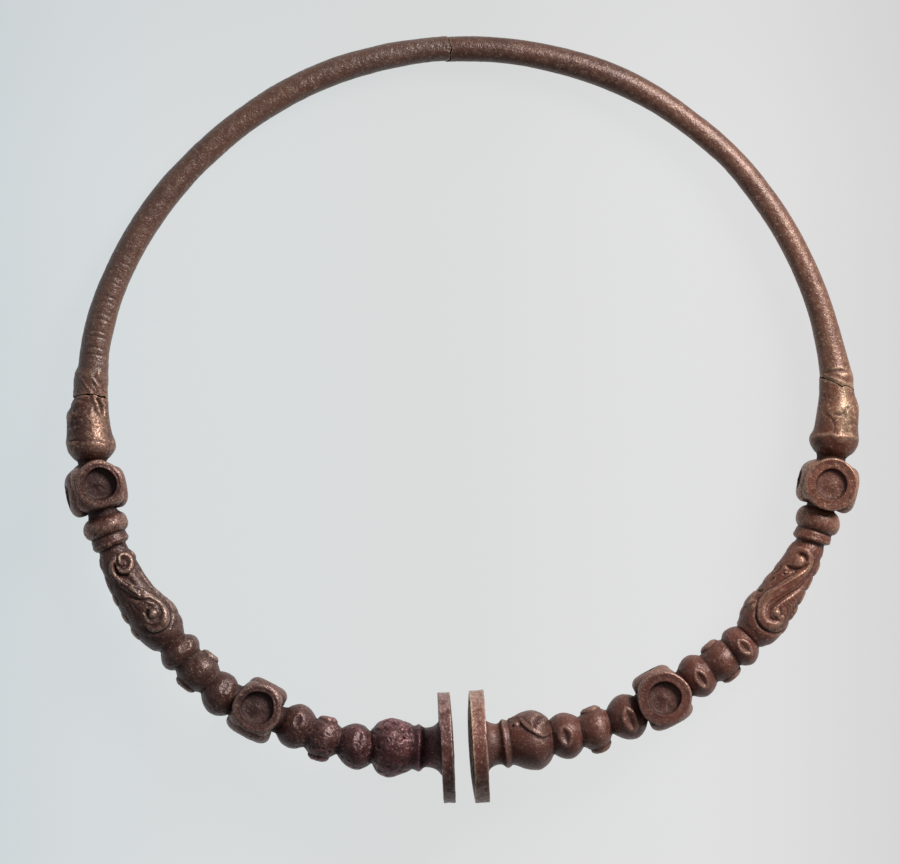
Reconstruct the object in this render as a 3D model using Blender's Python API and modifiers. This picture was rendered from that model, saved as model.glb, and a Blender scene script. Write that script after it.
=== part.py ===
"""An open neck ring of cast bronze with buffer ends: two halves of a plain hoop and two decorated ends.

Each piece is first made straight, lying along +X, with +Y towards the outside of the ring and +Z
towards its front, and is then bent round the ring's line. Lengths are in metres, angles in radians.
"""

import math

import bmesh
import bpy
import numpy as np
from mathutils import Matrix

# The ring's line: its mean radius, and how far it strays from a circle as waves round the ring.
# Each wave is its number of crests, its cosine part and its sine part, counted from the gap.
RING_RADIUS = 0.0690
RING_WAVES = ((2, -0.00214, -0.00068), (3, -0.00093, -0.00034), (4, -0.00032, -0.00024))

# The buffers' faces are parallel, a gap apart, and lean this far from the radius through the gap.
# The gap's middle lies a little to the right of where the ring's line is counted from.
GAP = 0.0037
GAP_OFFSET = 0.0003
BUFFER_LEAN = math.radians(3.3)

# The breaks that part the ring: how wide they are, how far the break in the hoop lies from the point
# across from the gap, and how steeply each sleeve's break runs along the ring as it crosses it.
BREAK_WIDTH = 0.0003
HOOP_BREAK_OFFSET = 0.0027
LEFT_BREAK_SLOPE = 0.0
RIGHT_BREAK_SLOPE = 0.57

# Diameters of what is turned.
BUFFER_DIAMETER = 0.0211
BUFFER_EDGE = 0.0003
NECK_FLARE_DIAMETER = 0.0104
NECK_DIAMETER = 0.0077
RING_MOULDING_DIAMETER = 0.0091
BULB_ROOT_DIAMETER = 0.0087
BULB_DIAMETER = 0.0113
EYE_BEAD_DIAMETER = 0.0088
CUP_BEAD_DIAMETER = 0.0090
BEAD_NECK_DIAMETER = 0.0060
BALUSTER_DIAMETER = 0.0092
BALUSTER_THIN_DIAMETER = 0.0070
COLLAR_DIAMETER = 0.0071
COLLAR_BEAD_DIAMETER = 0.0085
BELL_DIAMETER = 0.0093
SLEEVE_DIAMETER = 0.0084
SLEEVE_MOUTH_DIAMETER = 0.0062
LIP_DIAMETER = 0.0059
HOOP_ROOT_DIAMETER = 0.0054
HOOP_DIAMETER = 0.0049

# Where the widest place of a swelling form lies, as a share of its length.
BULB_CREST = 0.58
BALUSTER_CREST = 0.24
BALUSTER_THIN = 0.9
BELL_CREST = 0.62

# The sleeve's lip stays on the hoop past the break, and the hoop thins from there to its full run.
LEFT_LIP_LENGTH = 0.0048
RIGHT_LIP_LENGTH = 0.0026
HOOP_TAPER_LENGTH = 0.0160

# A block between the beads: a chamfered cube with a round cup on each of four sides. The cups in
# front and behind are large and flat-rimmed, and those at the sides smaller, with rounder rims.
BLOCK_LENGTH = 0.0085
BLOCK_WIDTH = 0.0099
BLOCK_CHAMFER = 0.0015
CUP_SPAN = 0.0117
CUP_DEPTH = 0.0011
FACE_RIM_DIAMETER = 0.0099
FACE_CUP_DIAMETER = 0.0060
FACE_RIM_ROUNDING = 0.0006
SIDE_RIM_DIAMETER = 0.0085
SIDE_CUP_DIAMETER = 0.0048
SIDE_RIM_ROUNDING = 0.0014

# An eye on a bead: an oval slot. The eyes are turned a little about the ring's line.
EYE_LENGTH = 0.0014
EYE_SPREAD = 0.0032
EYE_DEPTH = 0.0007
LEFT_EYE_TURN = -0.25
RIGHT_EYE_TURN = 0.16

# A scroll on the baluster: the distance between its two curls, and the ridge that draws it.
SCROLL_LENGTH = 0.0122
SCROLL_SLANT = -0.12
SCROLL_TURNS = 1.85
RIDGE_WIDTH = 0.0011
RIDGE_HEIGHT = 0.00035
CURL_DIAMETER = 0.0017
CURL_RISE = 0.0005

# How many sides each round form has.
BUFFER_SIDES = 28
END_SIDES = 12
HOOP_SIDES = 10
CUP_SIDES = 14
EYE_SIDES = 8
HOOP_STEP = 0.0048
SCROLL_POINTS = 15

# Each end from its buffer outwards: what comes after what, how long each stretch is along the ring,
# and how far it sits outside the ring's line. The two ends were worked by hand and differ a little.
LEFT_LENGTHS = {
    "buffer": 0.00225, "neck": 0.0034, "ring": 0.0017, "bulb": 0.0083,
    "eye_1": 0.0057, "cup_1": 0.0058, "eye_2": 0.0061, "block_1": 0.0097,
    "eye_3": 0.0055, "cup_2": 0.0058, "eye_4": 0.0048, "baluster": 0.0214,
    "collar": 0.0022, "collar_bead": 0.0040, "block_2": 0.0104, "bell": 0.0048, "sleeve": 0.0078,
}
RIGHT_LENGTHS = {
    "buffer": 0.0026, "neck": 0.0027, "ring": 0.0021, "bulb": 0.0080,
    "eye_1": 0.0056, "cup_1": 0.0058, "eye_2": 0.0064, "block_1": 0.0098,
    "eye_3": 0.0054, "cup_2": 0.0050, "eye_4": 0.0046, "baluster": 0.0210,
    "collar": 0.0024, "collar_bead": 0.0045, "block_2": 0.0103, "bell": 0.0051, "sleeve": 0.0092,
}
LEFT_SET_OUT = {
    "buffer": -0.0007, "neck": -0.0006, "ring": -0.0006, "bulb": -0.0002,
    "eye_1": 0.0004, "cup_1": 0.0003, "eye_2": -0.0002, "block_1": -0.0002,
    "eye_3": 0.0010, "cup_2": 0.0001, "eye_4": -0.0002, "baluster": -0.0001,
    "collar": 0.0000, "collar_bead": -0.0001, "block_2": -0.0002, "bell": -0.0002, "sleeve": 0.0000,
    "hoop": 0.0002,
}
RIGHT_SET_OUT = {
    "buffer": -0.0006, "neck": -0.0006, "ring": -0.0006, "bulb": -0.0004,
    "eye_1": 0.0001, "cup_1": 0.0006, "eye_2": 0.0004, "block_1": -0.0003,
    "eye_3": -0.0004, "cup_2": 0.0000, "eye_4": 0.0004, "baluster": -0.0001,
    "collar": -0.0001, "collar_bead": -0.0002, "block_2": -0.0003, "bell": -0.0003, "sleeve": 0.0003,
    "hoop": 0.0001,
}

LEFT = -1
RIGHT = 1
LENGTHS = {LEFT: LEFT_LENGTHS, RIGHT: RIGHT_LENGTHS}
SET_OUT = {LEFT: LEFT_SET_OUT, RIGHT: RIGHT_SET_OUT}
LIP_LENGTH = {LEFT: LEFT_LIP_LENGTH, RIGHT: RIGHT_LIP_LENGTH}
BREAK_SLOPE = {LEFT: LEFT_BREAK_SLOPE, RIGHT: RIGHT_BREAK_SLOPE}
EYE_TURN = {LEFT: LEFT_EYE_TURN, RIGHT: RIGHT_EYE_TURN}
FRONT_AND_BACK = (0.0, math.pi)
SIDES = (0.5 * math.pi, 1.5 * math.pi)
CUPS = (
    (FRONT_AND_BACK, FACE_RIM_DIAMETER, FACE_CUP_DIAMETER, FACE_RIM_ROUNDING),
    (SIDES, SIDE_RIM_DIAMETER, SIDE_CUP_DIAMETER, SIDE_RIM_ROUNDING),
)


# The ring's line.


def ring_radius(angle):
    """Distance of the ring's line from its centre: a circle with a few low waves on it."""
    radius = RING_RADIUS
    for crests, cosine, sine in RING_WAVES:
        radius = radius + cosine * np.cos(crests * angle) + sine * np.sin(crests * angle)
    return radius


def ring_place(angle):
    """The point of the ring's line at an angle from the gap, which lies towards -Y."""
    radius = ring_radius(angle)
    return radius * np.sin(angle), -radius * np.cos(angle)


ANGLES = np.linspace(-1.2 * math.pi, 1.2 * math.pi, 3001)
PLACES = ring_place(ANGLES)
HEADINGS = np.unwrap(np.arctan2(np.gradient(PLACES[1]), np.gradient(PLACES[0])))
HEADINGS -= 2 * math.pi * round(float(np.interp(0, ANGLES, HEADINGS)) / (2 * math.pi))
RUN = np.concatenate(([0.0], np.cumsum(np.hypot(np.diff(PLACES[0]), np.diff(PLACES[1])))))
RUN -= np.interp(0, ANGLES, RUN)


def eased(value, places, levels):
    """Levels met at their places, with a smooth step from each to the next."""
    places = np.asarray(places)
    levels = np.asarray(levels)
    step = np.clip(np.searchsorted(places, value) - 1, 0, len(places) - 2)
    part = np.clip((value - places[step]) / (places[step + 1] - places[step]), 0, 1)
    return levels[step] + (levels[step + 1] - levels[step]) * part * part * (3 - 2 * part)


def stretches(side):
    """Where each stretch of an end starts and stops, measured along the ring from the gap's middle."""
    place = GAP / 2 + side * GAP_OFFSET
    found = {}
    for name, length in LENGTHS[side].items():
        found[name] = (place, place + length)
        place += length
    return found


def sleeve_break(side):
    """Where an end's sleeve breaks, measured along the ring."""
    return stretches(side)["sleeve"][1]


def hoop_break(side):
    """Where the hoop breaks, measured along the ring from the gap on this side."""
    angle = -(math.pi - HOOP_BREAK_OFFSET / float(ring_radius(math.pi)))
    if side == RIGHT:
        angle += 2 * math.pi
    return side * float(np.interp(angle, ANGLES, RUN))


def set_out(place, side):
    """How far outside the ring's line the middle of a piece sits, at places along the ring."""
    found = stretches(side)
    middles = [sum(found[name]) / 2 for name in found]
    levels = [SET_OUT[side][name] for name in found]
    middles.append(sleeve_break(side) + LIP_LENGTH[side])
    levels.append(SET_OUT[side]["hoop"])
    return eased(place, middles, levels)


def bend(points, side):
    """Carry straight points round the ring: X along its line, Y outwards, Z up.

    The stretch of the buffer and its neck stays straight and square to the buffers' common lean.
    """
    found = stretches(side)
    along = side * points[:, 0]
    angle = np.interp(along, RUN, ANGLES)
    straight = (found["buffer"][1], found["bulb"][0])
    turned = eased(points[:, 0], straight, (0.0, 1.0))
    heading = BUFFER_LEAN + (np.interp(along, RUN, HEADINGS) - BUFFER_LEAN) * turned
    outwards = points[:, 1] + set_out(points[:, 0], side)
    line_x, line_y = ring_place(angle)
    return np.column_stack(
        (line_x + outwards * np.sin(heading), line_y - outwards * np.cos(heading), points[:, 2])
    )


# Straight forms.


def mesh_from(work, name):
    """A mesh of a closed bmesh, with its faces turned to point outwards."""
    bmesh.ops.recalc_face_normals(work, faces=work.faces)
    if work.calc_volume(signed=True) < 0:
        bmesh.ops.reverse_faces(work, faces=work.faces)
    mesh = bpy.data.meshes.new(name)
    work.to_mesh(mesh)
    work.free()
    return mesh


def turned(name, profile, sides):
    """A solid turned about X from (place, radius) points, closed on the axis at both ends."""
    points = [(profile[0][0], 0.0)] + list(profile) + [(profile[-1][0], 0.0)]
    mesh = bpy.data.meshes.new(name)
    edges = [(index, index + 1) for index in range(len(points) - 1)]
    mesh.from_pydata([(place, radius, 0.0) for place, radius in points], edges, [])
    lathe = bpy.data.objects.new(name, mesh)
    bpy.context.scene.collection.objects.link(lathe)
    screw = lathe.modifiers.new("Turn", "SCREW")
    screw.axis = "X"
    screw.steps = sides
    screw.render_steps = sides
    screw.use_merge_vertices = True
    screw.merge_threshold = 0.00001
    work = bmesh.new()
    work.from_mesh(evaluated_mesh(lathe))
    bpy.data.objects.remove(lathe)
    bmesh.ops.remove_doubles(work, verts=work.verts, dist=0.000001)
    return mesh_from(work, name)


def evaluated_mesh(thing):
    """A new mesh of an object as its modifiers leave it."""
    graph = bpy.context.evaluated_depsgraph_get()
    return bpy.data.meshes.new_from_object(thing.evaluated_get(graph))


def bulge(start, end, neck, crest):
    """Profile of a bead: half an ellipse standing on its neck, without its last point."""
    middle = (start + end) / 2
    half = (end - start) / 2
    swing = [math.pi * step / 4 for step in range(4)]
    return [
        (middle - half * math.cos(angle), neck + (crest - neck) * math.sin(angle)) for angle in swing
    ]


def bulb_profile(start, end):
    """Profile of the large bulb: it swells slowly from the buffer's side and closes quickly."""
    crest_at = start + BULB_CREST * (end - start)
    root = BULB_ROOT_DIAMETER / 2
    crest = BULB_DIAMETER / 2
    neck = BEAD_NECK_DIAMETER / 2
    rise = [math.pi / 2 * step / 3 for step in range(3)]
    points = [
        (start + (crest_at - start) * math.sin(angle) ** 1.2, root + (crest - root) * math.sin(angle))
        for angle in rise
    ]
    points += [
        (crest_at + (end - crest_at) * math.sin(angle), neck + (crest - neck) * math.cos(angle))
        for angle in rise
    ]
    return points


def baluster_profile(start, end):
    """Profile of the baluster: a round shoulder, a long taper and a short step down to the collar."""
    length = end - start
    neck = BEAD_NECK_DIAMETER / 2
    thick = BALUSTER_DIAMETER / 2
    thin = BALUSTER_THIN_DIAMETER / 2
    shoulder = [math.pi / 2 * step / 3 for step in range(4)]
    points = [
        (start + BALUSTER_CREST * length * (1 - math.cos(angle)), neck + (thick - neck) * math.sin(angle))
        for angle in shoulder
    ]
    points += [
        (start + share * length, float(eased(share, (BALUSTER_CREST, BALUSTER_THIN), (thick, thin))))
        for share in np.linspace(BALUSTER_CREST, BALUSTER_THIN, 5)[1:]
    ]
    points.append(((start + BALUSTER_THIN * length + end) / 2, neck))
    return points


def end_profile(side):
    """The turned outline of an end from inside its buffer to past its break, as (place, radius)."""
    found = stretches(side)
    flare = NECK_FLARE_DIAMETER / 2
    neck = NECK_DIAMETER / 2
    ring = RING_MOULDING_DIAMETER / 2
    bead_neck = BEAD_NECK_DIAMETER / 2
    bell = BELL_DIAMETER / 2
    sleeve = SLEEVE_DIAMETER / 2
    mouth = SLEEVE_MOUTH_DIAMETER / 2

    def at(name, *steps):
        """Points of a stretch from (share of its length, radius) steps."""
        start, end = found[name]
        return [(start + share * (end - start), radius) for share, radius in steps]

    points = at("buffer", (0.5, flare))
    points += at("neck", (0, flare), (0.4, neck + 0.1 * (flare - neck)), (1, neck))
    points += at("ring", (0.35, ring), (0.65, ring))
    points += bulb_profile(*found["bulb"])
    for name in ("eye_1", "cup_1", "eye_2"):
        points += bulge(*found[name], bead_neck, bead_radius(name))
    points += at("block_1", (0, bead_neck))
    for name in ("eye_3", "cup_2", "eye_4"):
        points += bulge(*found[name], bead_neck, bead_radius(name))
    points += baluster_profile(*found["baluster"])
    points += at("collar", (0, bead_neck), (0.4, COLLAR_DIAMETER / 2), (0.9, COLLAR_DIAMETER / 2))
    points += bulge(*found["collar_bead"], bead_neck, COLLAR_BEAD_DIAMETER / 2)
    points += at("block_2", (0, bead_neck))
    points += at("bell", (0, bead_neck), (BELL_CREST / 2, 0.9 * bell), (BELL_CREST, bell))
    points += at("sleeve", (0, (bell + sleeve) / 2), (0.15, sleeve), (0.6, sleeve), (1, mouth))
    points.append((found["sleeve"][1] + trim_room(), mouth))
    return points


def bead_radius(name):
    """Crest radius of a bead, by its kind."""
    kinds = {"eye": EYE_BEAD_DIAMETER, "cup": CUP_BEAD_DIAMETER}
    return kinds[name.split("_")[0]] / 2


def trim_room():
    """How much longer than needed a piece is turned, so that a slanting break cuts right through."""
    steepest = max(abs(slope) for slope in BREAK_SLOPE.values())
    return BREAK_WIDTH + SLEEVE_MOUTH_DIAMETER * (0.1 + steepest)


def buffer_profile(side):
    """Profile of a buffer disc with its two edges rounded."""
    start, end = stretches(side)["buffer"]
    radius = BUFFER_DIAMETER / 2
    return [
        (start, radius - BUFFER_EDGE), (start + BUFFER_EDGE, radius),
        (end - BUFFER_EDGE, radius), (end, radius - BUFFER_EDGE),
    ]


# What is raised on the turned outline, or sunk into it.


def add_operand(collection, mesh):
    """Put a mesh in a collection as a piece that a Boolean reads."""
    operand = bpy.data.objects.new(mesh.name, mesh)
    collection.objects.link(operand)


def block(name, start, end):
    """A chamfered cube, centred in its stretch."""
    work = bmesh.new()
    bmesh.ops.create_cube(work, size=1.0)
    size = Matrix.Diagonal((BLOCK_LENGTH, BLOCK_WIDTH, BLOCK_WIDTH, 1.0))
    bmesh.ops.transform(work, matrix=size, verts=work.verts)
    bmesh.ops.bevel(work, geom=work.edges[:], offset=BLOCK_CHAMFER, segments=1, affect="EDGES")
    bmesh.ops.translate(work, vec=((start + end) / 2, 0.0, 0.0), verts=work.verts)
    return mesh_from(work, name)


def cup_drum(name, middle, turn, low, high, radius, rounding=0.0):
    """A short drum standing out from the ring's line at a turn about it, its outer edge rounded."""
    work = bmesh.new()
    bmesh.ops.create_cone(
        work, cap_ends=True, segments=CUP_SIDES, radius1=radius, radius2=radius, depth=high - low
    )
    bmesh.ops.translate(work, vec=(0.0, 0.0, (low + high) / 2), verts=work.verts)
    if rounding:
        edges = [edge for edge in work.edges if all(vert.co.z > (low + high) / 2 for vert in edge.verts)]
        bmesh.ops.bevel(work, geom=edges, offset=rounding, segments=1, affect="EDGES")
    stand = Matrix.Translation((middle, 0.0, 0.0)) @ Matrix.Rotation(turn, 4, "X")
    bmesh.ops.transform(work, matrix=stand, verts=work.verts)
    return mesh_from(work, name)


def wrapped(points, turn, radius):
    """Lay points (along, across, height) on a round form: across becomes an arc, height a radius."""
    angle = turn + points[:, 1] / radius
    reach = radius + points[:, 2]
    return np.column_stack((points[:, 0], reach * np.sin(angle), reach * np.cos(angle)))


def eye(name, middle, turn, radius):
    """An oval drum that reaches into a bead and follows its curve."""
    work = bmesh.new()
    bmesh.ops.create_cone(
        work, cap_ends=True, segments=EYE_SIDES, radius1=0.5, radius2=0.5, depth=2 * EYE_DEPTH
    )
    caps = [face for face in work.faces if len(face.verts) == EYE_SIDES]
    bmesh.ops.poke(work, faces=caps)
    for vert in work.verts:
        flat = np.array([[EYE_LENGTH * vert.co.x, EYE_SPREAD * vert.co.y, vert.co.z]])
        vert.co = wrapped(flat, turn, radius)[0]
        vert.co.x += middle
    return mesh_from(work, name)


def scroll_line(count):
    """Points of an S that curls up at both ends, its two curls one unit apart along X.

    The curvature changes evenly from one end to the other, as in a clothoid, and the points crowd
    towards the curls.
    """
    fine = np.linspace(0, SCROLL_TURNS, 2001)
    step = fine[1] - fine[0]
    x = np.cumsum(np.cos(math.pi * fine**2 / 2)) * step
    y = np.cumsum(np.sin(math.pi * fine**2 / 2)) * step
    share = SCROLL_TURNS * np.sin(math.pi / 2 * np.linspace(-1, 1, count))
    x = np.sign(share) * np.interp(np.abs(share), fine, x)
    y = np.sign(share) * np.interp(np.abs(share), fine, y)
    unit = math.sqrt(2)
    diagonal = math.pi / 4
    along = (x * math.cos(diagonal) + y * math.sin(diagonal)) / unit
    across = (y * math.cos(diagonal) - x * math.sin(diagonal)) / unit
    return np.column_stack((along, across))


def scroll(name, middle, turn, radius_at):
    """The ridge of an S-scroll, three-sided, with its feet under the baluster's surface."""
    line = scroll_line(SCROLL_POINTS) * SCROLL_LENGTH
    cosine = math.cos(SCROLL_SLANT)
    sine = math.sin(SCROLL_SLANT)
    line = line @ np.array(((cosine, sine), (-sine, cosine)))
    way = np.gradient(line, axis=0)
    way /= np.linalg.norm(way, axis=1)[:, None]
    beside = np.column_stack((-way[:, 1], way[:, 0])) * RIDGE_WIDTH / 2
    rows = []
    for shift, height in ((-1, -RIDGE_HEIGHT), (0, RIDGE_HEIGHT), (1, -RIDGE_HEIGHT)):
        place = line + shift * beside
        place[:, 0] += middle
        radius = np.array([radius_at(value) for value in place[:, 0]])
        flat = np.column_stack((place, np.full(len(place), height)))
        rows.append(wrapped(flat, turn, radius))
    work = bmesh.new()
    loops = [[work.verts.new(row[index]) for row in rows] for index in range(len(line))]
    for low, high in zip(loops, loops[1:]):
        for corner in range(3):
            after = (corner + 1) % 3
            work.faces.new((low[corner], low[after], high[after], high[corner]))
    work.faces.new(loops[0])
    work.faces.new(loops[-1])
    bmesh.ops.triangulate(work, faces=work.faces[:])
    return mesh_from(work, name)


def curl_places(middle):
    """Middles of a scroll's two curls, as (along, across)."""
    half = SCROLL_LENGTH / 2
    across = half * math.sin(SCROLL_SLANT)
    along = half * math.cos(SCROLL_SLANT)
    return ((middle - along, -across), (middle + along, across))


def curl_boss(name, place, across, turn, radius):
    """A low round boss in the middle of a curl."""
    angle = turn + across / radius
    return blunt_cone(name, place, angle, radius - CURL_RISE, radius + CURL_RISE, CURL_DIAMETER / 2)


def blunt_cone(name, middle, turn, low, high, radius):
    """A blunt cone standing out from the ring's line at a turn about it."""
    work = bmesh.new()
    bmesh.ops.create_cone(
        work, cap_ends=True, segments=EYE_SIDES, radius1=radius, radius2=radius / 3, depth=high - low
    )
    bmesh.ops.translate(work, vec=(0.0, 0.0, (low + high) / 2), verts=work.verts)
    stand = Matrix.Translation((middle, 0.0, 0.0)) @ Matrix.Rotation(-turn, 4, "X")
    bmesh.ops.transform(work, matrix=stand, verts=work.verts)
    return mesh_from(work, name)


def add_cups(side, raised, sunk):
    """Both blocks of an end, with a cup on each of their four sides."""
    found = stretches(side)
    for name in ("block_1", "block_2"):
        start, end = found[name]
        middle = (start + end) / 2
        add_operand(raised, block(name, start, end))
        top = CUP_SPAN / 2
        root = BLOCK_WIDTH / 4
        for turns, rim, cup, rounding in CUPS:
            for turn in turns:
                drum = cup_drum("cup_rim", middle, turn, root, top, rim / 2, rounding)
                hole = cup_drum("cup", middle, turn, top - CUP_DEPTH, top + CUP_DEPTH, cup / 2)
                add_operand(raised, drum)
                add_operand(sunk, hole)


def add_eyes(side, sunk):
    """The eyes of an end's beads: in front and behind on some, inside and outside on the others."""
    found = stretches(side)
    for name in ("eye_1", "cup_1", "eye_2", "eye_3", "cup_2", "eye_4"):
        middle = sum(found[name]) / 2
        radius = bead_radius(name)
        for turn in FRONT_AND_BACK if name.startswith("eye") else SIDES:
            add_operand(sunk, eye("eye", middle, turn + EYE_TURN[side], radius))


def add_scrolls(side, profile, raised):
    """The S-scrolls on the front and the back of an end's baluster."""
    start, end = stretches(side)["baluster"]
    middle = start + 0.56 * (end - start)
    places = [place for place, radius in profile]
    radii = [radius for place, radius in profile]

    def radius_at(place):
        return float(np.interp(place, places, radii))

    for turn in FRONT_AND_BACK:
        add_operand(raised, scroll("scroll", middle, turn, radius_at))
        for place, across in curl_places(middle):
            add_operand(raised, curl_boss("curl", place, across, turn, radius_at(place)))


# The four pieces.


def trim(work, place, slope, keep):
    """Cut a straight piece at a slanting plane through its line and close the cut.

    Keep is -1 for what lies before the plane and 1 for what lies past it.
    """
    geometry = work.verts[:] + work.edges[:] + work.faces[:]
    cut = bmesh.ops.bisect_plane(
        work, geom=geometry, plane_co=(place + keep * BREAK_WIDTH / 2, 0.0, 0.0),
        plane_no=(-keep, -keep * slope, 0.0), clear_outer=True,
    )
    edges = [item for item in cut["geom_cut"] if isinstance(item, bmesh.types.BMEdge)]
    bmesh.ops.contextual_create(work, geom=edges)


def end_solid(side):
    """The straight solid of a decorated end, before it is trimmed and bent."""
    profile = end_profile(side)
    body = bpy.data.objects.new("end", turned("end", profile, END_SIDES))
    bpy.context.scene.collection.objects.link(body)
    raised = bpy.data.collections.new("raised")
    sunk = bpy.data.collections.new("sunk")
    for operands in (raised, sunk):
        bpy.context.scene.collection.children.link(operands)
    add_operand(raised, turned("buffer", buffer_profile(side), BUFFER_SIDES))
    add_cups(side, raised, sunk)
    add_eyes(side, sunk)
    add_scrolls(side, profile, raised)
    for operation, operands in (("UNION", raised), ("DIFFERENCE", sunk)):
        boolean = body.modifiers.new(operation.title(), "BOOLEAN")
        boolean.operation = operation
        boolean.operand_type = "COLLECTION"
        boolean.collection = operands
    mesh = evaluated_mesh(body)
    bpy.data.objects.remove(body)
    for operands in (raised, sunk):
        for operand in list(operands.objects):
            bpy.data.objects.remove(operand)
        bpy.data.collections.remove(operands)
    return mesh


def hoop_profile(side):
    """The turned outline of a half of the hoop, from before its sleeve break to past the top break."""
    start = sleeve_break(side)
    lip = LIP_LENGTH[side]
    mouth = SLEEVE_MOUTH_DIAMETER / 2
    root = HOOP_ROOT_DIAMETER / 2
    plain = HOOP_DIAMETER / 2
    points = [(start - trim_room(), mouth), (start + 0.75 * lip, LIP_DIAMETER / 2)]
    first = start + lip
    last = hoop_break(side) + BREAK_WIDTH
    steps = math.ceil((last - first) / HOOP_STEP)
    for place in np.linspace(first, last, steps + 1):
        radius = eased(place, (first, first + HOOP_TAPER_LENGTH), (root, plain))
        points.append((float(place), float(radius)))
    return points


def hoop_solid(side):
    """The straight solid of a half of the hoop, trimmed at both breaks."""
    work = bmesh.new()
    work.from_mesh(turned("hoop", hoop_profile(side), HOOP_SIDES))
    trim(work, sleeve_break(side), BREAK_SLOPE[side], 1)
    trim(work, hoop_break(side), 0.0, -1)
    return mesh_from(work, "hoop")


def finish(name, mesh, side, material, collection):
    """Triangulate a straight solid, bend it round the ring and make it one of the torc's pieces."""
    work = bmesh.new()
    work.from_mesh(mesh)
    bmesh.ops.remove_doubles(work, verts=work.verts, dist=0.00001)
    bmesh.ops.triangulate(work, faces=work.faces[:])
    points = bend(np.array([vert.co for vert in work.verts], dtype=float), side)
    for vert, point in zip(work.verts, points):
        vert.co = point
    solid = mesh_from(work, name)
    solid.materials.append(material)
    solid.shade_smooth()
    solid.set_sharp_from_angle(angle=math.radians(35))
    piece = bpy.data.objects.new(name, solid)
    collection.objects.link(piece)
    return piece


def bronze(name, colour, roughness):
    """A patinated bronze."""
    material = bpy.data.materials.new(name)
    material.use_nodes = True
    shader = material.node_tree.nodes["Principled BSDF"]
    shader.inputs["Base Color"].default_value = (*colour, 1.0)
    shader.inputs["Metallic"].default_value = 0.8
    shader.inputs["Roughness"].default_value = roughness
    return material


def lay_down(stand, pieces):
    """Lay the ring on the ground, on its two buffers and the back of its hoop, centred on the origin."""
    front = abs(float(ring_place(0.0)[1])) + (LEFT_SET_OUT["buffer"] + RIGHT_SET_OUT["buffer"]) / 2
    back = abs(float(ring_place(math.pi)[1])) + (LEFT_SET_OUT["hoop"] + RIGHT_SET_OUT["hoop"]) / 2
    tilt = math.asin((BUFFER_DIAMETER - HOOP_DIAMETER) / 2 / (front + back))
    stand.rotation_euler = (-tilt, 0.0, 0.0)
    turn = np.array(stand.rotation_euler.to_matrix())
    points = [np.array([vert.co for vert in piece.data.vertices]) for piece in pieces]
    points = np.concatenate(points) @ turn.T
    low = points.min(axis=0)
    high = points.max(axis=0)
    stand.location = (-(low[0] + high[0]) / 2, -(low[1] + high[1]) / 2, -low[2])
    for piece in pieces:
        piece.parent = stand


def build():
    """Make the torc's four pieces and lay them on the ground."""
    for thing in list(bpy.data.objects):
        bpy.data.objects.remove(thing)
    torc = bpy.data.collections.new("torc")
    bpy.context.scene.collection.children.link(torc)
    pitted = bronze("pitted_bronze", (0.10, 0.055, 0.042), 0.55)
    rubbed = bronze("rubbed_bronze", (0.17, 0.085, 0.062), 0.42)
    cast = bronze("cast_bronze", (0.12, 0.060, 0.046), 0.48)

    pieces = []
    for name, side, material in (("hoop_left", LEFT, pitted), ("hoop_right", RIGHT, rubbed)):
        pieces.append(finish(name, hoop_solid(side), side, material, torc))
    for name, side in (("end_left", LEFT), ("end_right", RIGHT)):
        work = bmesh.new()
        work.from_mesh(end_solid(side))
        trim(work, sleeve_break(side), BREAK_SLOPE[side], -1)
        bmesh.ops.dissolve_limit(
            work, angle_limit=math.radians(0.3), verts=work.verts, edges=work.edges
        )
        pieces.append(finish(name, mesh_from(work, name), side, cast, torc))

    stand = bpy.data.objects.new("torc_stand", None)
    torc.objects.link(stand)
    lay_down(stand, pieces)


build()
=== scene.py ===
"""An open neck ring of old cast bronze with buffer ends, as it was dug up: two halves of a plain hoop
and two decorated ends, parted by three breaks.

Each piece is worked out straight, in millimetres, with X along the ring, Y towards its outside and Z
towards its front, then bent round the ring's line and laid on the floor as the solids are.
"""

import math

import bpy
import numpy as np
from mathutils import Matrix, Vector


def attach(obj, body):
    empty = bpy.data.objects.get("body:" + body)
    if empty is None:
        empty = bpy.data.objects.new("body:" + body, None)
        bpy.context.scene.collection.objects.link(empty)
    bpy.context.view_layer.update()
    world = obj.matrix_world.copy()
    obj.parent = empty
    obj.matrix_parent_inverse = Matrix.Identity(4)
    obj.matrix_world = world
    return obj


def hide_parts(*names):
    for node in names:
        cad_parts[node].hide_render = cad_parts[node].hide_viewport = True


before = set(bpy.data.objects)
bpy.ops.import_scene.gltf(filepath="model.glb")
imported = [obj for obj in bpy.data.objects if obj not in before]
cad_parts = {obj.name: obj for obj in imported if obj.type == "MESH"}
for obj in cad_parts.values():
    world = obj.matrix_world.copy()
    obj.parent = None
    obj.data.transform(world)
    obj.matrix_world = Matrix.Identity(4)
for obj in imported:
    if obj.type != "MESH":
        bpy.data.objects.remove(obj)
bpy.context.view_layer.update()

LEFT = -1
RIGHT = 1
MM = 0.001

# The ring's line, as in the solids: its mean radius and the waves on it (crests, cosine, sine part).
RING_RADIUS = 69.0
RING_WAVES = ((2, -2.14, -0.68), (3, -0.93, -0.34), (4, -0.32, -0.24))
# How far the top break lies to the left of the point opposite the gap.
HOOP_BREAK_OFFSET = 2.7
# The buffers share one heading, which eases into the line's own between these two places.
BUFFER_LEAN = math.radians(3.3)
STRAIGHT_TO = {LEFT: (3.8, 8.9), RIGHT: (4.96, 9.55)}

# Breaks: how wide the gap is, and how far it leans along the ring for each mm of depth.
SLEEVE_BREAK = (0.20, 0.27)
TOP_BREAK = (0.16, 0.32)
# How far from a break its ragged line still moves the surface.
RAG_REACH = 3.5
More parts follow.
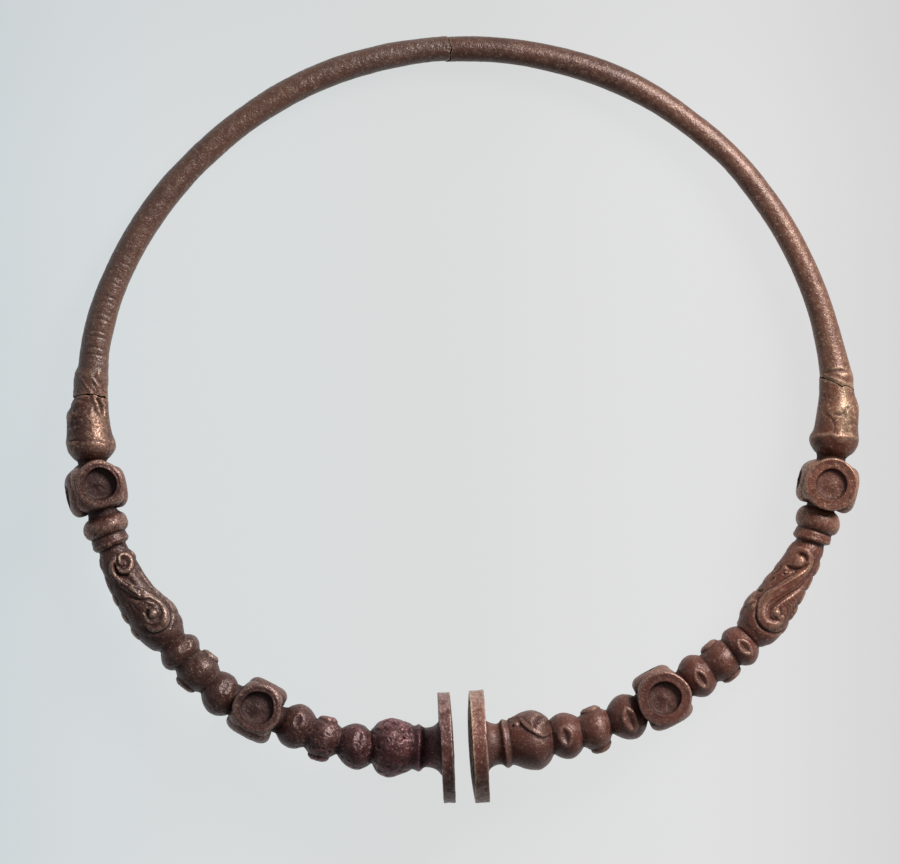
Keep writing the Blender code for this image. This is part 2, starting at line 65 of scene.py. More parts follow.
# Rows that close a broken end: their share of its radius, and how far within its edge they lie.
CLOSING = ((0.965, 0.07), (0.90, 0.08), (0.75, 0.04), (0.5, 0.0), (0.2, -0.01))

# How the solids lie on the floor: their turn about X, and where the ring's centre is.
STAND_TURN = -0.061133
STAND_PLACE = (-0.2693, 2.7681, 6.5783)

# Buffers: face, back, middle outside the ring's line, radius.
BUFFERS = {LEFT: (1.55, 3.80, -0.52, 10.52), RIGHT: (2.20, 4.96, -0.43, 10.70)}
BUFFER_EDGE = 0.18
# How hollow the rim is, how far in the flat back goes, and how far each face bulges.
RIM_HOLLOW = 0.05
BACK_REACH = 5.3
BUFFER_DOME = {LEFT: 0.22, RIGHT: 0.70}
# How far the buffers tip to the left for each mm towards the front, and where that fades out.
BUFFER_TIP = 0.028
TIP_FADE = (6, 13)

# What follows each buffer. A station is (place inside, reach inside, place outside, reach outside),
# where inside and outside are the two edges seen from the front and reach is from the ring's line. With
# three values it is (place, reach inside, reach outside). A stretch starts where the one before it ends,
# unless it is one of those with a start of their own.
OWN_START = ("neck", "collar", "collar_bead")
TURNING = {
    RIGHT: (
        ("neck", "run", ((5, 5.35, 4.65), (5.4, 4.95, 3.95), (6.3, 4.55, 3.5), (7.1, 4.35, 3.35))),
        ("ring", "run", ((7.7, 4.5, 3.55), (8.2, 5, 4.1), (8.6, 5.05, 4.3), (9.1, 4.85, 4.05),
            (9.5, 4.6, 9.4, 3.75))),
        ("bulb", "run", ((9.9, 4.95, 4), (10.6, 5.2, 4.35), (11.4, 5.45, 4.8), (12.3, 5.75, 5.15),
            (13.3, 5.9, 5.4), (14.2, 5.95, 14.1, 5.5), (15.2, 5.7, 14.9, 5.3), (16, 5.25, 15.6, 4.9),
            (16.8, 4.6, 16.3, 4.35), (17.4, 3.9, 16.8, 3.7), (17.6, 3.3, 17.3, 3.15))),
        ("eye_1", "bead", ((20.1, 4.1, 4.75), (23.3, 2.4, 22.9, 3.1))),
        ("cup_1", "bead", ((26.2, 3.9, 25.8, 5.45), (28.9, 2, 28.6, 2.45))),
        ("eye_2", "bead", ((32.4, 3.9, 5.05), (35, 2.65, 35.6, 2.7))),
        ("block_1", "block", ((40.1, 5.05, 4.85), (45.2, 3.25, 45.1, 2.75))),
        ("eye_3", "bead", ((47.8, 4.35, 47.4, 4.2), (50.4, 2.85, 50.2, 2.95))),
        ("cup_2", "bead", ((52.9, 4.1, 4.7), (55.7, 2.65, 55.2, 3.15))),
        ("eye_4", "bead", ((57.3, 3.5, 4.7), (59.9, 2.45, 3.1))),
        ("baluster", "run", ((60.3, 3, 3.55), (60.9, 3.2, 3.9), (61.8, 3.65, 4.45), (63, 4.1, 4.7),
            (64.3, 4.35, 4.75), (65.6, 4.4, 4.65), (67.2, 4.3, 4.3), (68.7, 4.2, 4.1), (70.6, 4.05, 3.85),
            (72.8, 3.85, 3.6), (75.1, 3.65, 3.45), (77.4, 3.4, 3.45), (78.9, 3.1, 3.3), (80.1, 2.8, 3.15),
            (81, 2.5, 81.8, 2.6))),
        ("collar", "plain", ((81, 2.6, 81.8, 2.5), (81.2, 3.15, 82, 3.2), (81.5, 3.5, 82.2, 3.6),
            (81.9, 3.6, 82.5, 3.75), (82.2, 3.45, 82.8, 3.65), (83.1, 3.4, 83.4, 3.6),
            (83.7, 3.2, 84, 3.3))),
        ("collar_bead", "bead", ((83.7, 3.35, 84, 3.5), (85.8, 4.3, 85.5, 4.35), (87.9, 3, 88.2, 2.3))),
        ("block_2", "block", ((93, 5.25, 4.8), (98.6, 3.2, 98.1, 2.35))),
        ("bell", "run", ((99, 3.75, 98.6, 2.95), (99.8, 4.3, 99.2, 3.7), (100.5, 4.65, 100.1, 4.25),
            (101.3, 4.8, 101, 4.6), (102, 4.7, 101.9, 4.65), (102.6, 4.4, 102.5, 4.5),
            (103.2, 4.1, 103.1, 4.45))),
        ("sleeve", "run", ((104.2, 3.95, 4.45), (105.3, 3.8, 4.45), (106.4, 3.7, 4.5), (107.6, 3.5, 4.5),
            (108.3, 3.3, 4.25), (109.3, 3.15, 109.1, 4), (111, 3, 109.7, 3.85), (112.7, 2.85, 110.2, 3.8),
            (114.4, 2.7, 110.6, 3.8))),
    ),
    LEFT: (
        ("neck", "run", ((3.8, 5.6, 4.9), (4.4, 5.05, 4.05), (5.2, 4.6, 3.5), (6.1, 4.35, 3.25),
            (6.9, 4.3, 3.2))),
        ("ring", "run", ((7.4, 4.6, 7.3, 3.55), (8.1, 4.9, 7.9, 4), (8.5, 4.7, 8.3, 3.8), (9, 4.5, 3.5))),
        ("bulb", "run", ((9.5, 4.7, 3.75), (10.2, 5.1, 4.25), (11.4, 5.45, 4.8), (12.3, 5.6, 5.2),
            (13.3, 5.65, 13.2, 5.35), (14.2, 5.6, 14, 5.3), (15.2, 5.25, 14.8, 5), (16, 4.85, 15.5, 4.45),
            (16.7, 4.2, 15.9, 3.85), (17.3, 3.4, 16.3, 3.3), (17.6, 2.75, 16.6, 3.1))),
        ("eye_1", "bead", ((20.1, 3.95, 19.5, 4.9), (23.3, 2.35, 23.2, 2.55))),
        ("cup_1", "bead", ((26, 4.2, 26.4, 5), (28.5, 2.8, 29.2, 3))),
        ("eye_2", "bead", ((31.9, 4.6, 4.2), (34.6, 3.1, 34.9, 2.55))),
        ("block_1", "block", ((40.1, 5.05, 4.7), (45.5, 2.4, 44, 3.45))),
        ("eye_3", "bead", ((47.6, 3.25, 46.9, 5.15), (50, 2.45, 50.4, 2.95))),
        ("cup_2", "bead", ((53.1, 4.35, 53.7, 4.65), (55.8, 3.05, 56.4, 2.75))),
        ("eye_4", "bead", ((58.2, 4.35, 4.05), (60.2, 3.15, 60.7, 2.55))),
        ("baluster", "run", ((60.7, 3.5, 61.1, 2.85), (61.3, 3.9, 61.7, 3.35), (62.2, 4.3, 62.6, 3.7),
            (63.8, 4.8, 4), (65.3, 5, 4.25), (66.8, 4.95, 4.3), (67.9, 4.7, 4.05), (69.4, 4.4, 4.1),
            (71, 4.05, 4.05), (72.8, 3.7, 3.85), (75.1, 3.55, 3.7), (77.4, 3.4, 3.55),
            (79.1, 3.3, 79.3, 3.5), (80.4, 2.9, 3.25), (82.2, 2.75, 82, 2.65))),
        ("collar", "plain", ((82.2, 2.75, 82, 2.7), (82.4, 3.3, 82.2, 3.2), (82.8, 3.6, 82.6, 3.45),
            (83.2, 3.75, 83, 3.6), (83.5, 3.6, 83.3, 3.45), (84.2, 3.5, 84.1, 3.4), (84.6, 3.3, 3.15))),
        ("collar_bead", "bead", ((84.6, 3.45, 3.2), (86.3, 4.5, 86.1, 4.2), (88.2, 3.55, 2.55))),
        ("block_2", "block", ((93.8, 5.05, 4.85), (99.1, 3.25, 2.5))),
        ("bell", "run", ((99.6, 3.9, 3.1), (100.4, 4.6, 100.3, 3.65), (101.1, 4.95, 4.15),
            (101.9, 5, 102, 4.4), (102.6, 4.9, 102.7, 4.45), (103.4, 4.65, 103.6, 4.25))),
        ("sleeve", "run", ((104.3, 4.4, 104.5, 4.15), (105.5, 4.25, 105.9, 4.15), (106.8, 4.1, 107.2, 4.3),
            (108.1, 3.9, 4.15), (109.1, 3.75, 108.9, 3.7), (110, 3.7, 3.4), (111.1, 3.55, 2.95))),
    ),
}
# The hoop's halves, as one run each.
HOOP = {
    RIGHT: (
        (114.4, 2.6, 110.6, 3.8), (114.6, 2.6, 111.5, 3.8), (114.7, 2.55, 112.6, 3.85),
        (114.8, 2.5, 113.5, 3.85), (115.1, 2.45, 114.2, 3.6), (115.5, 2.45, 114.8, 3.45),
        (116.1, 2.45, 115.9, 3.35), (117.1, 2.4, 3.2), (119, 2.35, 3), (121.4, 2.35, 2.85),
        (124.3, 2.2, 2.75), (129, 2.2, 2.65), (136.6, 2.2, 2.5), (149.3, 2.25, 2.5), (159.4, 2.1, 2.5),
        (170.9, 2.35, 2.3), (178.2, 2.35, 2.45), (185.6, 2.5, 2.6), (192.8, 2.6, 2.5), (200, 2.6, 2.35),
        (207.2, 2.5, 2.35), (211, 2.45, 2.35),
    ),
    LEFT: (
        (111.1, 3.45, 3.1), (112.3, 3.5, 3.15), (113.8, 3.45, 3.15), (115, 3.35, 3.25), (115.7, 3.2, 3.15),
        (116.5, 3.1, 2.85), (117.6, 3, 2.85), (119, 2.8, 2.9), (122.4, 2.6, 3.05), (125.6, 2.55, 3.05),
        (129, 2.45, 3), (132.8, 2.45, 2.9), (139.6, 2.5, 2.7), (146.8, 2.7, 2.6), (154, 2.75, 2.45),
        (165.1, 2.8, 2.2), (175.9, 2.65, 2.35), (183.1, 2.55, 2.55), (190.3, 2.45, 2.65), (197.5, 2.4, 2.6),
        (204.7, 2.3, 2.5), (211, 2.2, 2.45),
    ),
}

# Where the sleeve's break strays from its line, as (turn in degrees, along in mm).
SLEEVE_RAG = {
    LEFT: (
        (-180, 0.1), (-130, -0.3), (-83, -0.6), (-57, -0.25), (-37, -0.45), (-23, -0.4), (-8, -0.15),
        (-2, -0.25), (32, -0.35), (60, -0.4), (90, -0.1), (130, -0.2), (180, 0.1),
    ),
    RIGHT: (
        (-180, -1.2), (-120, -1.05), (-80, -0.9), (-38, -1.25), (-15, -1.3), (1, -1.4), (14, -1.5),
        (25, -0.85), (54, -0.4), (90, -0.2), (130, -0.7), (180, -1.2),
    ),
}
# The same for the top break, seen from the left half.
HOOP_RAG = (
    (-180, 0.1), (-120, -0.2), (-60, 0.25), (-25, -0.15), (0, 0.2), (30, -0.2), (60, 0.15), (120, -0.1),
    (180, 0.1),
)

# Blocks, by side and number: the body, and the places and sizes of its cups. Face cups are the ones in
# front and behind, side cups the ones at the ring's inside and outside.
BLOCK_LENGTH = 8.8
BLOCK_SWELL = -0.05
BLOCK_MOUTH = 0.46
BLOCK_TURN = {(LEFT, 1): -2.0, (LEFT, 2): -6.5, (RIGHT, 1): 0.0, (RIGHT, 2): 2.0}
BLOCK_MIDDLE = {(LEFT, 1): -0.19, (LEFT, 2): -0.05, (RIGHT, 1): -0.08, (RIGHT, 2): -0.08}
FACE_PLACE = {(LEFT, 1): 40.16, (LEFT, 2): 94.43, (RIGHT, 1): 39.98, (RIGHT, 2): 92.95}
FACE_MIDDLE = {(LEFT, 1): -0.27, (LEFT, 2): -0.38, (RIGHT, 1): 0.05, (RIGHT, 2): 0.05}
FACE_RIM = {(LEFT, 1): 4.75, (LEFT, 2): 4.60, (RIGHT, 1): 5.15, (RIGHT, 2): 5.05}
FACE_HOLE = {(LEFT, 1): 3.10, (LEFT, 2): 3.08, (RIGHT, 1): 3.10, (RIGHT, 2): 2.90}
SIDE_PLACE = {(LEFT, 1): 39.75, (LEFT, 2): 93.25, (RIGHT, 1): 39.70, (RIGHT, 2): 92.60}
SIDE_RIM = 4.20
SIDE_HOLE = 1.90
FACE_TOP = 5.85
# How far the side cups stand out from the block's middle, outside and inside.
SIDE_TOPS = {
    (LEFT, 1): (5.75, 5.60), (LEFT, 2): (5.50, 5.70), (RIGHT, 1): (5.75, 5.62), (RIGHT, 2): (5.72, 5.55),
}
FACE_ROUNDING = {LEFT: (0.75, 0.50), RIGHT: (0.45, 0.40)}
SIDE_ROUNDING = (2.05, 1.70)
FACE_DEPTH = {(LEFT, 1): 1.05, (LEFT, 2): 1.40, (RIGHT, 1): 1.15, (RIGHT, 2): 0.80}
SIDE_DEPTH = 0.40
# How much wider and deeper than the hole the body is cut away under a cup.
SOCKET_ROOM = (0.7, 0.1)
CUP_LIP = 0.22
# How far from round the cups are, how worn, and how dark the painted shade in their holes and down their
# outer walls is.
CUP_LOBES = {LEFT: 0.016, RIGHT: 0.009}
CUP_WORN = {LEFT: 0.6, RIGHT: 0.9}
HOLE_PAINTED_SHADE = {(LEFT, 1): 0.50, (LEFT, 2): 0.85, (RIGHT, 1): 0.50, (RIGHT, 2): 0.45}

# Eyes: (place, turn in degrees, half length, half breadth, depth, lip).
EYES = {
    RIGHT: (
        (19.9, -0.7, 0.92, 1.60, 0.55, 0.13), (32.45, 6.5, 0.86, 1.95, 0.52, 0.17),
        (47.87, 10.5, 0.74, 1.70, 0.50, 0.15), (57.96, 8.4, 0.70, 1.60, 0.46, 0.15),
    ),
    LEFT: (
        (19.80, -17.3, 1.05, 1.95, 0.30, 0.03), (32.02, -15.4, 0.85, 1.35, 0.36, 0.03),
        (47.50, -22.2, 1.10, 1.50, 0.30, 0.03), (58.50, -18.0, 1.10, 1.50, 0.28, 0.04),
    ),
}
# Beads with a small cup at each side instead: their places, then the cup's radius and how far it
# stands out.
CUP_EYES = {RIGHT: (25.95, 52.9), LEFT: (26.2, 53.4)}
SIDE_CUP = (1.95, 0.55)

# Reaches that carry a mark's turn to a distance across the surface. The bulb's holds up to its end.
BULB_END = 18
BULB_REACH = 5.5
BODY_REACH = 4.2
EYE_REACH = 4.3
BLOCK_REACH = 5.0
SIDE_CUP_REACH = 4.0
HOOP_REACH = 3.2
CUT_REACH = 2.7
# How strong the marks are behind, where the photograph doesn't reach.
BEHIND = 0.75
HOOP_BEHIND = 0.7
# How far a step's sunken ground goes on.
STEP_FADE = 1.4

# What is raised or cut on the turned forms: (kind, half width or widths down the line, height,
# ((place, turn in degrees), ...)). A step sinks the ground beyond its line.
RELIEF = {
    RIGHT: (
        # the baluster's S scroll
        ("band", (0.68, 0.87, 0.91, 0.95, 1.1, 1.21, 1.21, 1.02, 0.91, 0.87, 0.8, 0.72), 0.44,
            ((66.4, 36), (65.2, 34), (64.1, 19), (63.9, 1), (64.7, -16), (66.2, -27), (68.0, -28),
            (69.8, -18), (71.5, -7), (73.3, 7), (75.0, 18), (76.7, 26), (78.1, 24), (79.1, 10),
            (79.5, -12), (79.2, -31), (78.1, -42))),
        ("ridge", 0.28, 0.14, ((68.5, -28), (70.3, -19), (72.1, -7), (73.9, 6), (75.4, 16), (76.8, 21))),
        ("groove", 0.32, -0.42, ((73.8, 44), (72.5, 36), (71.3, 25), (70.1, 14), (68.5, 4), (67.2, -2),
            (66.1, -1), (65.2, 8), (65.2, 21), (65.8, 32))),
        ("groove", 0.28, -0.3, ((66.5, -46), (64.7, -31), (63.3, -19), (62.7, -2), (62.8, 19), (63.3, 42),
            (64.3, 63), (65.9, 84))),
        ("groove", 0.25, -0.22, ((67.1, -43), (68.5, -43), (70.2, -33), (72.1, -21), (74.0, -8),
            (75.0, 0))),
        ("hollow", 0.53, -0.55, ((75.2, -37), (75.1, -16), (75.5, 2), (76.3, 15), (77.4, 20))),
        ("hollow", 0.36, -0.36, ((78.0, -23), (78.5, -10), (78.4, 5), (77.7, 17))),
        # the leaf rays beside it
        ("groove", 0.19, -0.16, ((68.7, 17), (68.5, 34), (67.7, 48), (66.6, 49))),
        ("groove", 0.19, -0.15, ((69.2, 21), (69.0, 41), (68.0, 58), (66.7, 63))),
        ("groove", 0.19, -0.14, ((69.8, 26), (69.5, 47), (68.6, 67), (67.3, 74))),
        ("groove", 0.19, -0.13, ((70.4, 31), (70.1, 52), (69.3, 75), (68.2, 84))),
        ("groove", 0.19, -0.12, ((71.0, 36), (70.7, 58), (69.9, 84))),
        ("groove", 0.25, -0.26, ((67.7, 17), (67.2, 27), (66.6, 33))),
        # small rings and nicks above it
        ("groove", 0.19, -0.16, ((74.3, -18), (74.5, -30), (73.8, -33), (73.5, -20), (74.3, -18))),
        ("hollow", 0.28, -0.28, ((70.6, -56), (71.5, -52), (72.1, -46))),
        ("groove", 0.27, -0.2, ((74.1, -2), (74.7, -1), (75.2, 5))),
        ("groove", 0.27, -0.22, ((74.8, -56), (73.8, -51), (72.6, -59))),
        ("hollow", 0.42, -0.34, ((68.0, -75), (68.2, -59), (68.8, -54))),
        ("groove", 0.23, -0.14, ((79.7, -56), (80.0, -23), (80.0, 1), (79.4, 21))),
        ("groove", 0.27, -0.22, ((77.3, 42), (75.4, 47), (73.7, 42))),
        # the bulb's leaf
        ("step", 0.15, -0.36, ((11.8, -53), (12.1, -40), (12.9, -26), (13.8, -17), (14.5, -11),
            (15.8, -4), (17.2, -10))),
        ("groove", 0.15, -0.16, ((12.3, -64), (13.1, -45), (14.0, -31), (14.4, -25))),
        ("ridge", 0.46, 0.07, ((12.2, -51), (12.9, -34), (13.9, -23), (14.9, -16), (16.2, -12))),
        ("hollow", 0.42, -0.44, ((14.5, -26), (14.7, -39), (15.6, -50), (16.6, -67))),
        ("ridge", 0.21, 0.22, ((9.6, -78), (10.7, -73), (12.3, -66))),
        ("groove", 0.23, -0.2, ((17.4, -79), (17.4, -52), (16.8, -28))),
        ("groove", 0.23, -0.16, ((15.3, 47), (16.1, 42), (16.5, 33))),
        # the sleeve's marks
        ("ridge", 0.34, 0.2, ((101.7, -69), (102.2, -36), (102.5, -18), (102.2, 1), (102.3, 19),
            (102.1, 40), (102.0, 72))),
        ("step", 0.19, -0.15, ((100.5, -54), (101.6, -32), (102.1, -16), (101.6, -6), (100.8, 8),
            (101.2, 23), (101.7, 40), (101.8, 71))),
        ("groove", 0.17, -0.26, ((106.4, -14), (106.2, 9), (107.2, 18), (107.8, 38))),
        ("groove", 0.19, -0.16, ((104.4, 23), (104.7, 44), (104.3, 69))),
        ("groove", 0.17, -0.08, ((105.5, -13), (104.4, -10), (102.5, -7))),
        ("ridge", 0.3, 0.12, ((107.2, 21), (106.0, 24), (104.7, 23))),
        ("groove", 0.19, -0.14, ((106.6, -43), (105.6, -20), (104.4, -14))),
    ),
    LEFT: (
        # the baluster's S scroll
        ("band", (0.49, 0.61, 0.76, 0.87, 1.02, 1.1, 1.1, 1.06, 0.99, 0.87, 0.68, 0.49), 0.44, ((80.3, 3),
            (79.5, 17), (78.5, 28), (77.3, 32), (75.8, 21), (74.3, 8), (72.9, -6), (71.4, -17),
            (69.9, -27), (68.3, -32), (66.6, -31), (65.3, -24), (64.5, -12), (64.4, 4), (65.0, 18),
            (66.2, 24))),
        ("band", (0.46, 0.53, 0.57, 0.57, 0.49, 0.38), 0.42, ((78.2, 13), (77.5, 7), (77.0, -5),
            (77.0, -22), (77.6, -37), (78.7, -45), (79.6, -42), (80.1, -30), (80.0, -14), (79.1, -5),
            (78.3, -8))),
        ("hollow", 0.38, -0.55, ((79.2, 13), (78.2, 17), (77.1, 14), (76.2, 0), (76.2, -14))),
        ("groove", 0.23, -0.3, ((79.4, -16), (79.1, -26), (78.5, -30), (77.9, -22), (77.9, -13))),
        ("groove", 0.19, -0.15, ((77.8, 24), (76.2, 15), (74.8, 4), (73.6, -8), (72.2, -19))),
        ("groove", 0.25, -0.26, ((77.9, 36), (76.2, 31), (74.8, 18), (73.5, 7), (72.1, -2))),
        ("band", (0.76, 1.04, 1.04, 0.85), 0.22, ((76.2, -20), (74.7, -26), (73.0, -32), (71.1, -39))),
        ("groove", 0.23, -0.26, ((76.7, -44), (74.7, -54), (72.2, -58), (69.9, -62), (68.0, -61),
            (65.5, -55))),
        ("groove", 0.27, -0.33, ((72.3, 17), (71.4, 5), (70.6, -9), (69.8, -23), (68.3, -30), (66.8, -26),
            (65.8, -16))),
        ("groove", 0.25, -0.2, ((68.8, 1), (68.9, -12), (68.2, -23), (67.0, -23), (66.2, -14), (65.9, -2))),
        ("ridge", 0.23, 0.13, ((68.2, 11), (67.3, 15), (66.5, 14), (65.7, 6), (65.5, -8))),
        ("hollow", 0.46, -0.6, ((68.5, -4), (68.1, 3), (67.4, 6))),
        ("groove", 0.28, -0.24, ((65.8, -51), (64.5, -39), (63.5, -21), (63.5, -1), (64.1, 18),
            (65.2, 27), (66.5, 26))),
        ("groove", 0.17, -0.15, ((81.7, 28), (81.9, -4), (81.4, -33), (80.5, -53))),
        ("groove", 0.17, -0.15, ((82.1, 20), (82.3, -7), (81.9, -38), (81.2, -57))),
        ("groove", 0.17, -0.14, ((81.0, 20), (81.3, -3), (81.0, -25))),
        ("groove", 0.17, -0.13, ((71.3, 18), (70.0, 18), (69.0, 17))),
        ("groove", 0.17, -0.13, ((71.3, 28), (69.9, 31), (68.7, 30))),
        ("ridge", 0.19, 0.16, ((75.8, 27), (74.4, 14), (72.9, 0), (71.6, -9))),
        # what corrosion has left of the bulb's leaf
        ("step", 0.15, -0.28, ((9.6, -64), (10.6, -42), (11.6, -44), (12.4, -55))),
        # the sleeve's marks
        ("band", (0.27, 0.46, 0.53, 0.42, 0.23), 0.42, ((111.2, -8), (110.0, -20), (108.8, -27),
            (107.6, -32))),
        ("hollow", 0.57, -0.55, ((110.9, -17), (110.2, -32), (109.1, -42), (107.8, -46))),
        ("ridge", 0.19, 0.14, ((105.2, 71), (105.3, 48), (105.4, 27))),
        ("ridge", 0.19, 0.14, ((102.7, 74), (102.7, 47), (102.8, 28))),
        ("groove", 0.19, -0.14, ((110.2, 84), (110.6, 42), (110.4, 9))),
        ("groove", 0.19, -0.13, ((106.9, 42), (107.5, 14), (108.2, -4))),
        ("groove", 0.23, -0.14, ((103.0, 68), (103.0, 35), (102.9, 10), (102.7, -13), (102.2, -38))),
        ("groove", 0.21, -0.2, ((111.0, 62), (110.0, 84), (108.9, 84))),
    ),
}
HOOP_RELIEF = {
    RIGHT: (
        # the lip of the break
        ("ridge", 0.27, 0.16, ((113.8, -41), (113.2, -17), (112.4, 8), (111.9, 31), (111.7, 70))),
        ("groove", 0.21, -0.16, ((114.3, -57), (114.4, -23), (114.4, 6), (114.0, 43))),
        ("ridge", 0.3, 0.14, ((115.0, -21), (115.0, 10), (114.5, 48))),
    ),
    LEFT: (
        # the crease and the leaf beside it
        ("ridge", 0.17, 0.14, ((114.9, 50), (113.9, 30), (112.9, 14), (111.7, -3))),
        ("groove", 0.21, -0.05, ((114.8, 56), (113.8, 38), (112.9, 23), (111.7, 5))),
        ("ridge", 0.42, 0.24, ((116.1, -18), (115.3, -26))),
        ("ridge", 0.36, 0.24, ((114.3, -9), (113.8, -18), (113.1, -31))),
        ("ridge", 0.36, 0.24, ((113.3, -11), (112.6, -21), (111.8, -36))),
        ("groove", 0.25, -0.18, ((113.7, -5), (113.0, -14), (112.0, -29))),
        ("groove", 0.25, -0.16, ((115.2, -5), (114.6, -17), (113.7, -33))),
        ("groove", 0.21, -0.18, ((113.3, -39), (112.5, -48), (112.1, -59))),
    ),
}

# Round bosses: (place, turn in degrees, radius, height).
BOSSES = {
    RIGHT: (
        (77.0, -6, 1.4, 0.42), (66.6, 16, 0.8, 0.55), (66.1, 26, 0.34, 0.25), (65.0, -49, 1.23, 0.3),
        (74.0, -25, 0.27, 0.2), (16.2, -38, 0.49, 0.38), (15.2, -36, 0.32, -0.4), (11.0, -46, 0.57, 0.34),
        (10.2, -43, 0.42, -0.2), (14.6, 2, 0.38, 0.14), (114.2, -60, 0.49, -0.35), (106.6, 22, 0.76, 0.16),
        (103.0, 9, 0.66, 0.14), (105.6, 50, 0.38, 0.14),
    ),
    LEFT: (
        (67.4, -6, 0.95, 0.6), (78.3, -17, 0.42, 0.45), (82.5, 9, 0.76, 0.15), (11.0, -25, 0.32, -0.75),
        (11.9, -20, 0.57, 0.3), (9.6, -42, 0.3, 0.22), (10.8, -45, 0.3, 0.2),
    ),
}

# Patches rubbed bright, as bare metal that is also painted highlight where the key light's highlights fall,
# or
# left dull: (place, turn in degrees, radius, amount).
RUBBED_AND_HIGHLIT_PATCHES = {
    RIGHT: (
        (110.1, 30, 1.3, 0.7), (107.8, 22, 1.3, 0.8), (105.3, 23, 1.3, 0.8), (103.0, 25, 1.4, 0.6),
        (101.6, 40, 1.0, 0.6), (101.9, 19, 0.8, 0.4), (16.2, -38, 0.5, 0.7), (11.0, -46, 0.5, 0.6),
        (66.6, 16, 0.9, 0.5), (77.0, -6, 0.9, 0.4),
    ),
    LEFT: (
        (109.7, -19, 0.7, 0.9), (107.3, -27, 1.6, 0.8), (104.7, -23, 1.9, 0.9), (102.3, -22, 1.7, 0.8),
        (11.9, -20, 0.55, 1.0), (9.6, -42, 0.35, 0.8), (10.8, -45, 0.35, 0.7), (11.0, -70, 0.9, 0.4),
        (67.4, -6, 0.9, 0.5), (19.8, -17, 1.7, -0.5), (32.0, -15, 1.5, -0.5), (47.5, -22, 1.7, -0.45),
        (58.5, -18, 1.7, -0.4),
    ),
}

# The lumps down both sides of the balusters, seen edge on: (place, turn in degrees, radius, height).
SIDE_LUMPS = {
    RIGHT: (
        (80.8, 84, 1.2, 0.20), (77.4, 84, 1.45, 0.34), (74.5, 84, 1.35, 0.32), (71.6, 84, 1.35, 0.34),
        (68.6, 84, 1.45, 0.36), (65.5, 84, 1.2, 0.22), (79.0, -84, 1.2, 0.18), (74.3, -80, 1.0, 0.14),
        (71.2, -82, 1.3, 0.22), (65.6, -80, 2.1, 0.40), (62.7, -84, 1.0, 0.20),
    ),
    LEFT: (
        (80.0, 84, 1.1, 0.16), (76.0, 84, 1.8, 0.18), (73.0, 80, 1.15, 0.30), (69.4, 80, 1.15, 0.30),
        (66.1, 82, 1.3, 0.26), (79.4, -84, 1.2, 0.30), (66.6, -84, 2.2, 0.22), (62.9, -84, 1.0, 0.16),
    ),
}

# Age, as how rough and how pitted each side is.
END_AGE = {LEFT: (1.25, 0.7), RIGHT: (0.8, 0.3)}
HOOP_AGE = {LEFT: (0.9, 0.5), RIGHT: (0.6, 0.25)}
CUP_AGE = {LEFT: (1.1, 1.1), RIGHT: (0.7, 0.7)}
# Its noise as (size, height, seed) and its pits as (size, share of them live, seed), where each seed is
# counted on from the piece's own.
AGE_NOISE = ((5.0, 0.08, 0), (1.7, 0.038, 1), (0.75, 0.024, 2), (0.4, 0.016, 5))
AGE_PITS = ((1.15, 0.3, 3), (0.62, 0.45, 4))
PIT_DEPTH = 0.10
# How much more pitted each end is along a stretch, and how high the crumbs of the left bulb stand:
# (amount, where it starts, is full, starts to fade, is gone). Then the crumbs' size.
MORE_PITTED = {LEFT: (1.2, 7.5, 10, 26, 34), RIGHT: (0.9, 0, 1, 4.9, 5.3)}
CRUMBLED = (0.12, 8.5, 10, 16, 19)
CRUMBS = 0.95
# Crumpled sleeves: their places on an end and on the hoop, the height of the dents there, and their size.
END_CRUMPLED = (101, 104, 0.13)
HOOP_CRUMPLED = (113.5, 117.0, 0.12)
DENTS = 2.1
# How much rougher a crumpled sleeve is, and how much of its age the metal inside a break shows.
ROUGHER = 0.6
AGE_INSIDE = 0.2

# How each stretch of an end leans from its skin: place, and the share of red, green and blue. Some of it
# is painted light, as noted.
TONES = {
    RIGHT: (
        (2.15, 2.50, 3.20, 2.90), (2.4, 1.44, 1.44, 1.44), (5, 1.44, 1.44, 1.44), (7, 0.82, 0.82, 0.82),
        (17, 0.69, 0.66, 0.65), (20, 0.82, 0.76, 0.75), (58, 0.94, 0.84, 0.78), (64, 1.14, 1.07, 0.94),
        (94, 1.31, 1.22, 1.03), (98, 0.90, 0.80, 0.64), (101, 0.74, 0.60, 0.52), (103, 1.26, 1.27, 1.04),
        (106, 1.48, 1.60, 1.30),
    ),
    LEFT: (
        # the neck, from 4.9 to 6.5, is lifted above its neighbours: painted light where the buffer shades it
        # from the key light
        (3, 1.14, 0.98, 0.95), (4.3, 1.14, 0.96, 0.94), (4.9, 1.55, 1.05, 1.15), (6.5, 1.55, 1.05, 1.15),
        (7.3, 0.95, 0.52, 0.66), (9, 0.82, 0.53, 0.63), (18, 0.82, 0.56, 0.63), (30, 0.82, 0.67, 0.64),
        (58, 0.79, 0.73, 0.64), (80, 0.90, 0.78, 0.66), (94, 0.91, 0.72, 0.63), (106, 1.05, 0.87, 0.68),
    ),
}

# How each stretch of a half of the hoop leans from its skin. On the right half the stretch from 180 to the
# top break is darker, partly its colour and partly painted shade that dims the key light's highlight there.
HOOP_TONES = {
    RIGHT: (
        (112, 1.33, 1.4, 1.14), (118, 1.19, 1.28, 1.1), (150, 1.1, 1.2, 1.06), (180, 0.75, 0.78, 0.69),
        (210, 0.63, 0.67, 0.6),
    ),
    LEFT: (
        (112, 0.81, 0.64, 0.56), (117, 0.86, 0.82, 0.78), (180, 0.78, 0.74, 0.7), (210, 0.72, 0.68, 0.65),
    ),
}

# How much darker each half of the hoop gets towards its outer side, for each mm: painted shade on the side
# away from the key light, and painted light on its inner side.
HOOP_PAINTED_SHADE = {LEFT: 0.05, RIGHT: 0.0}
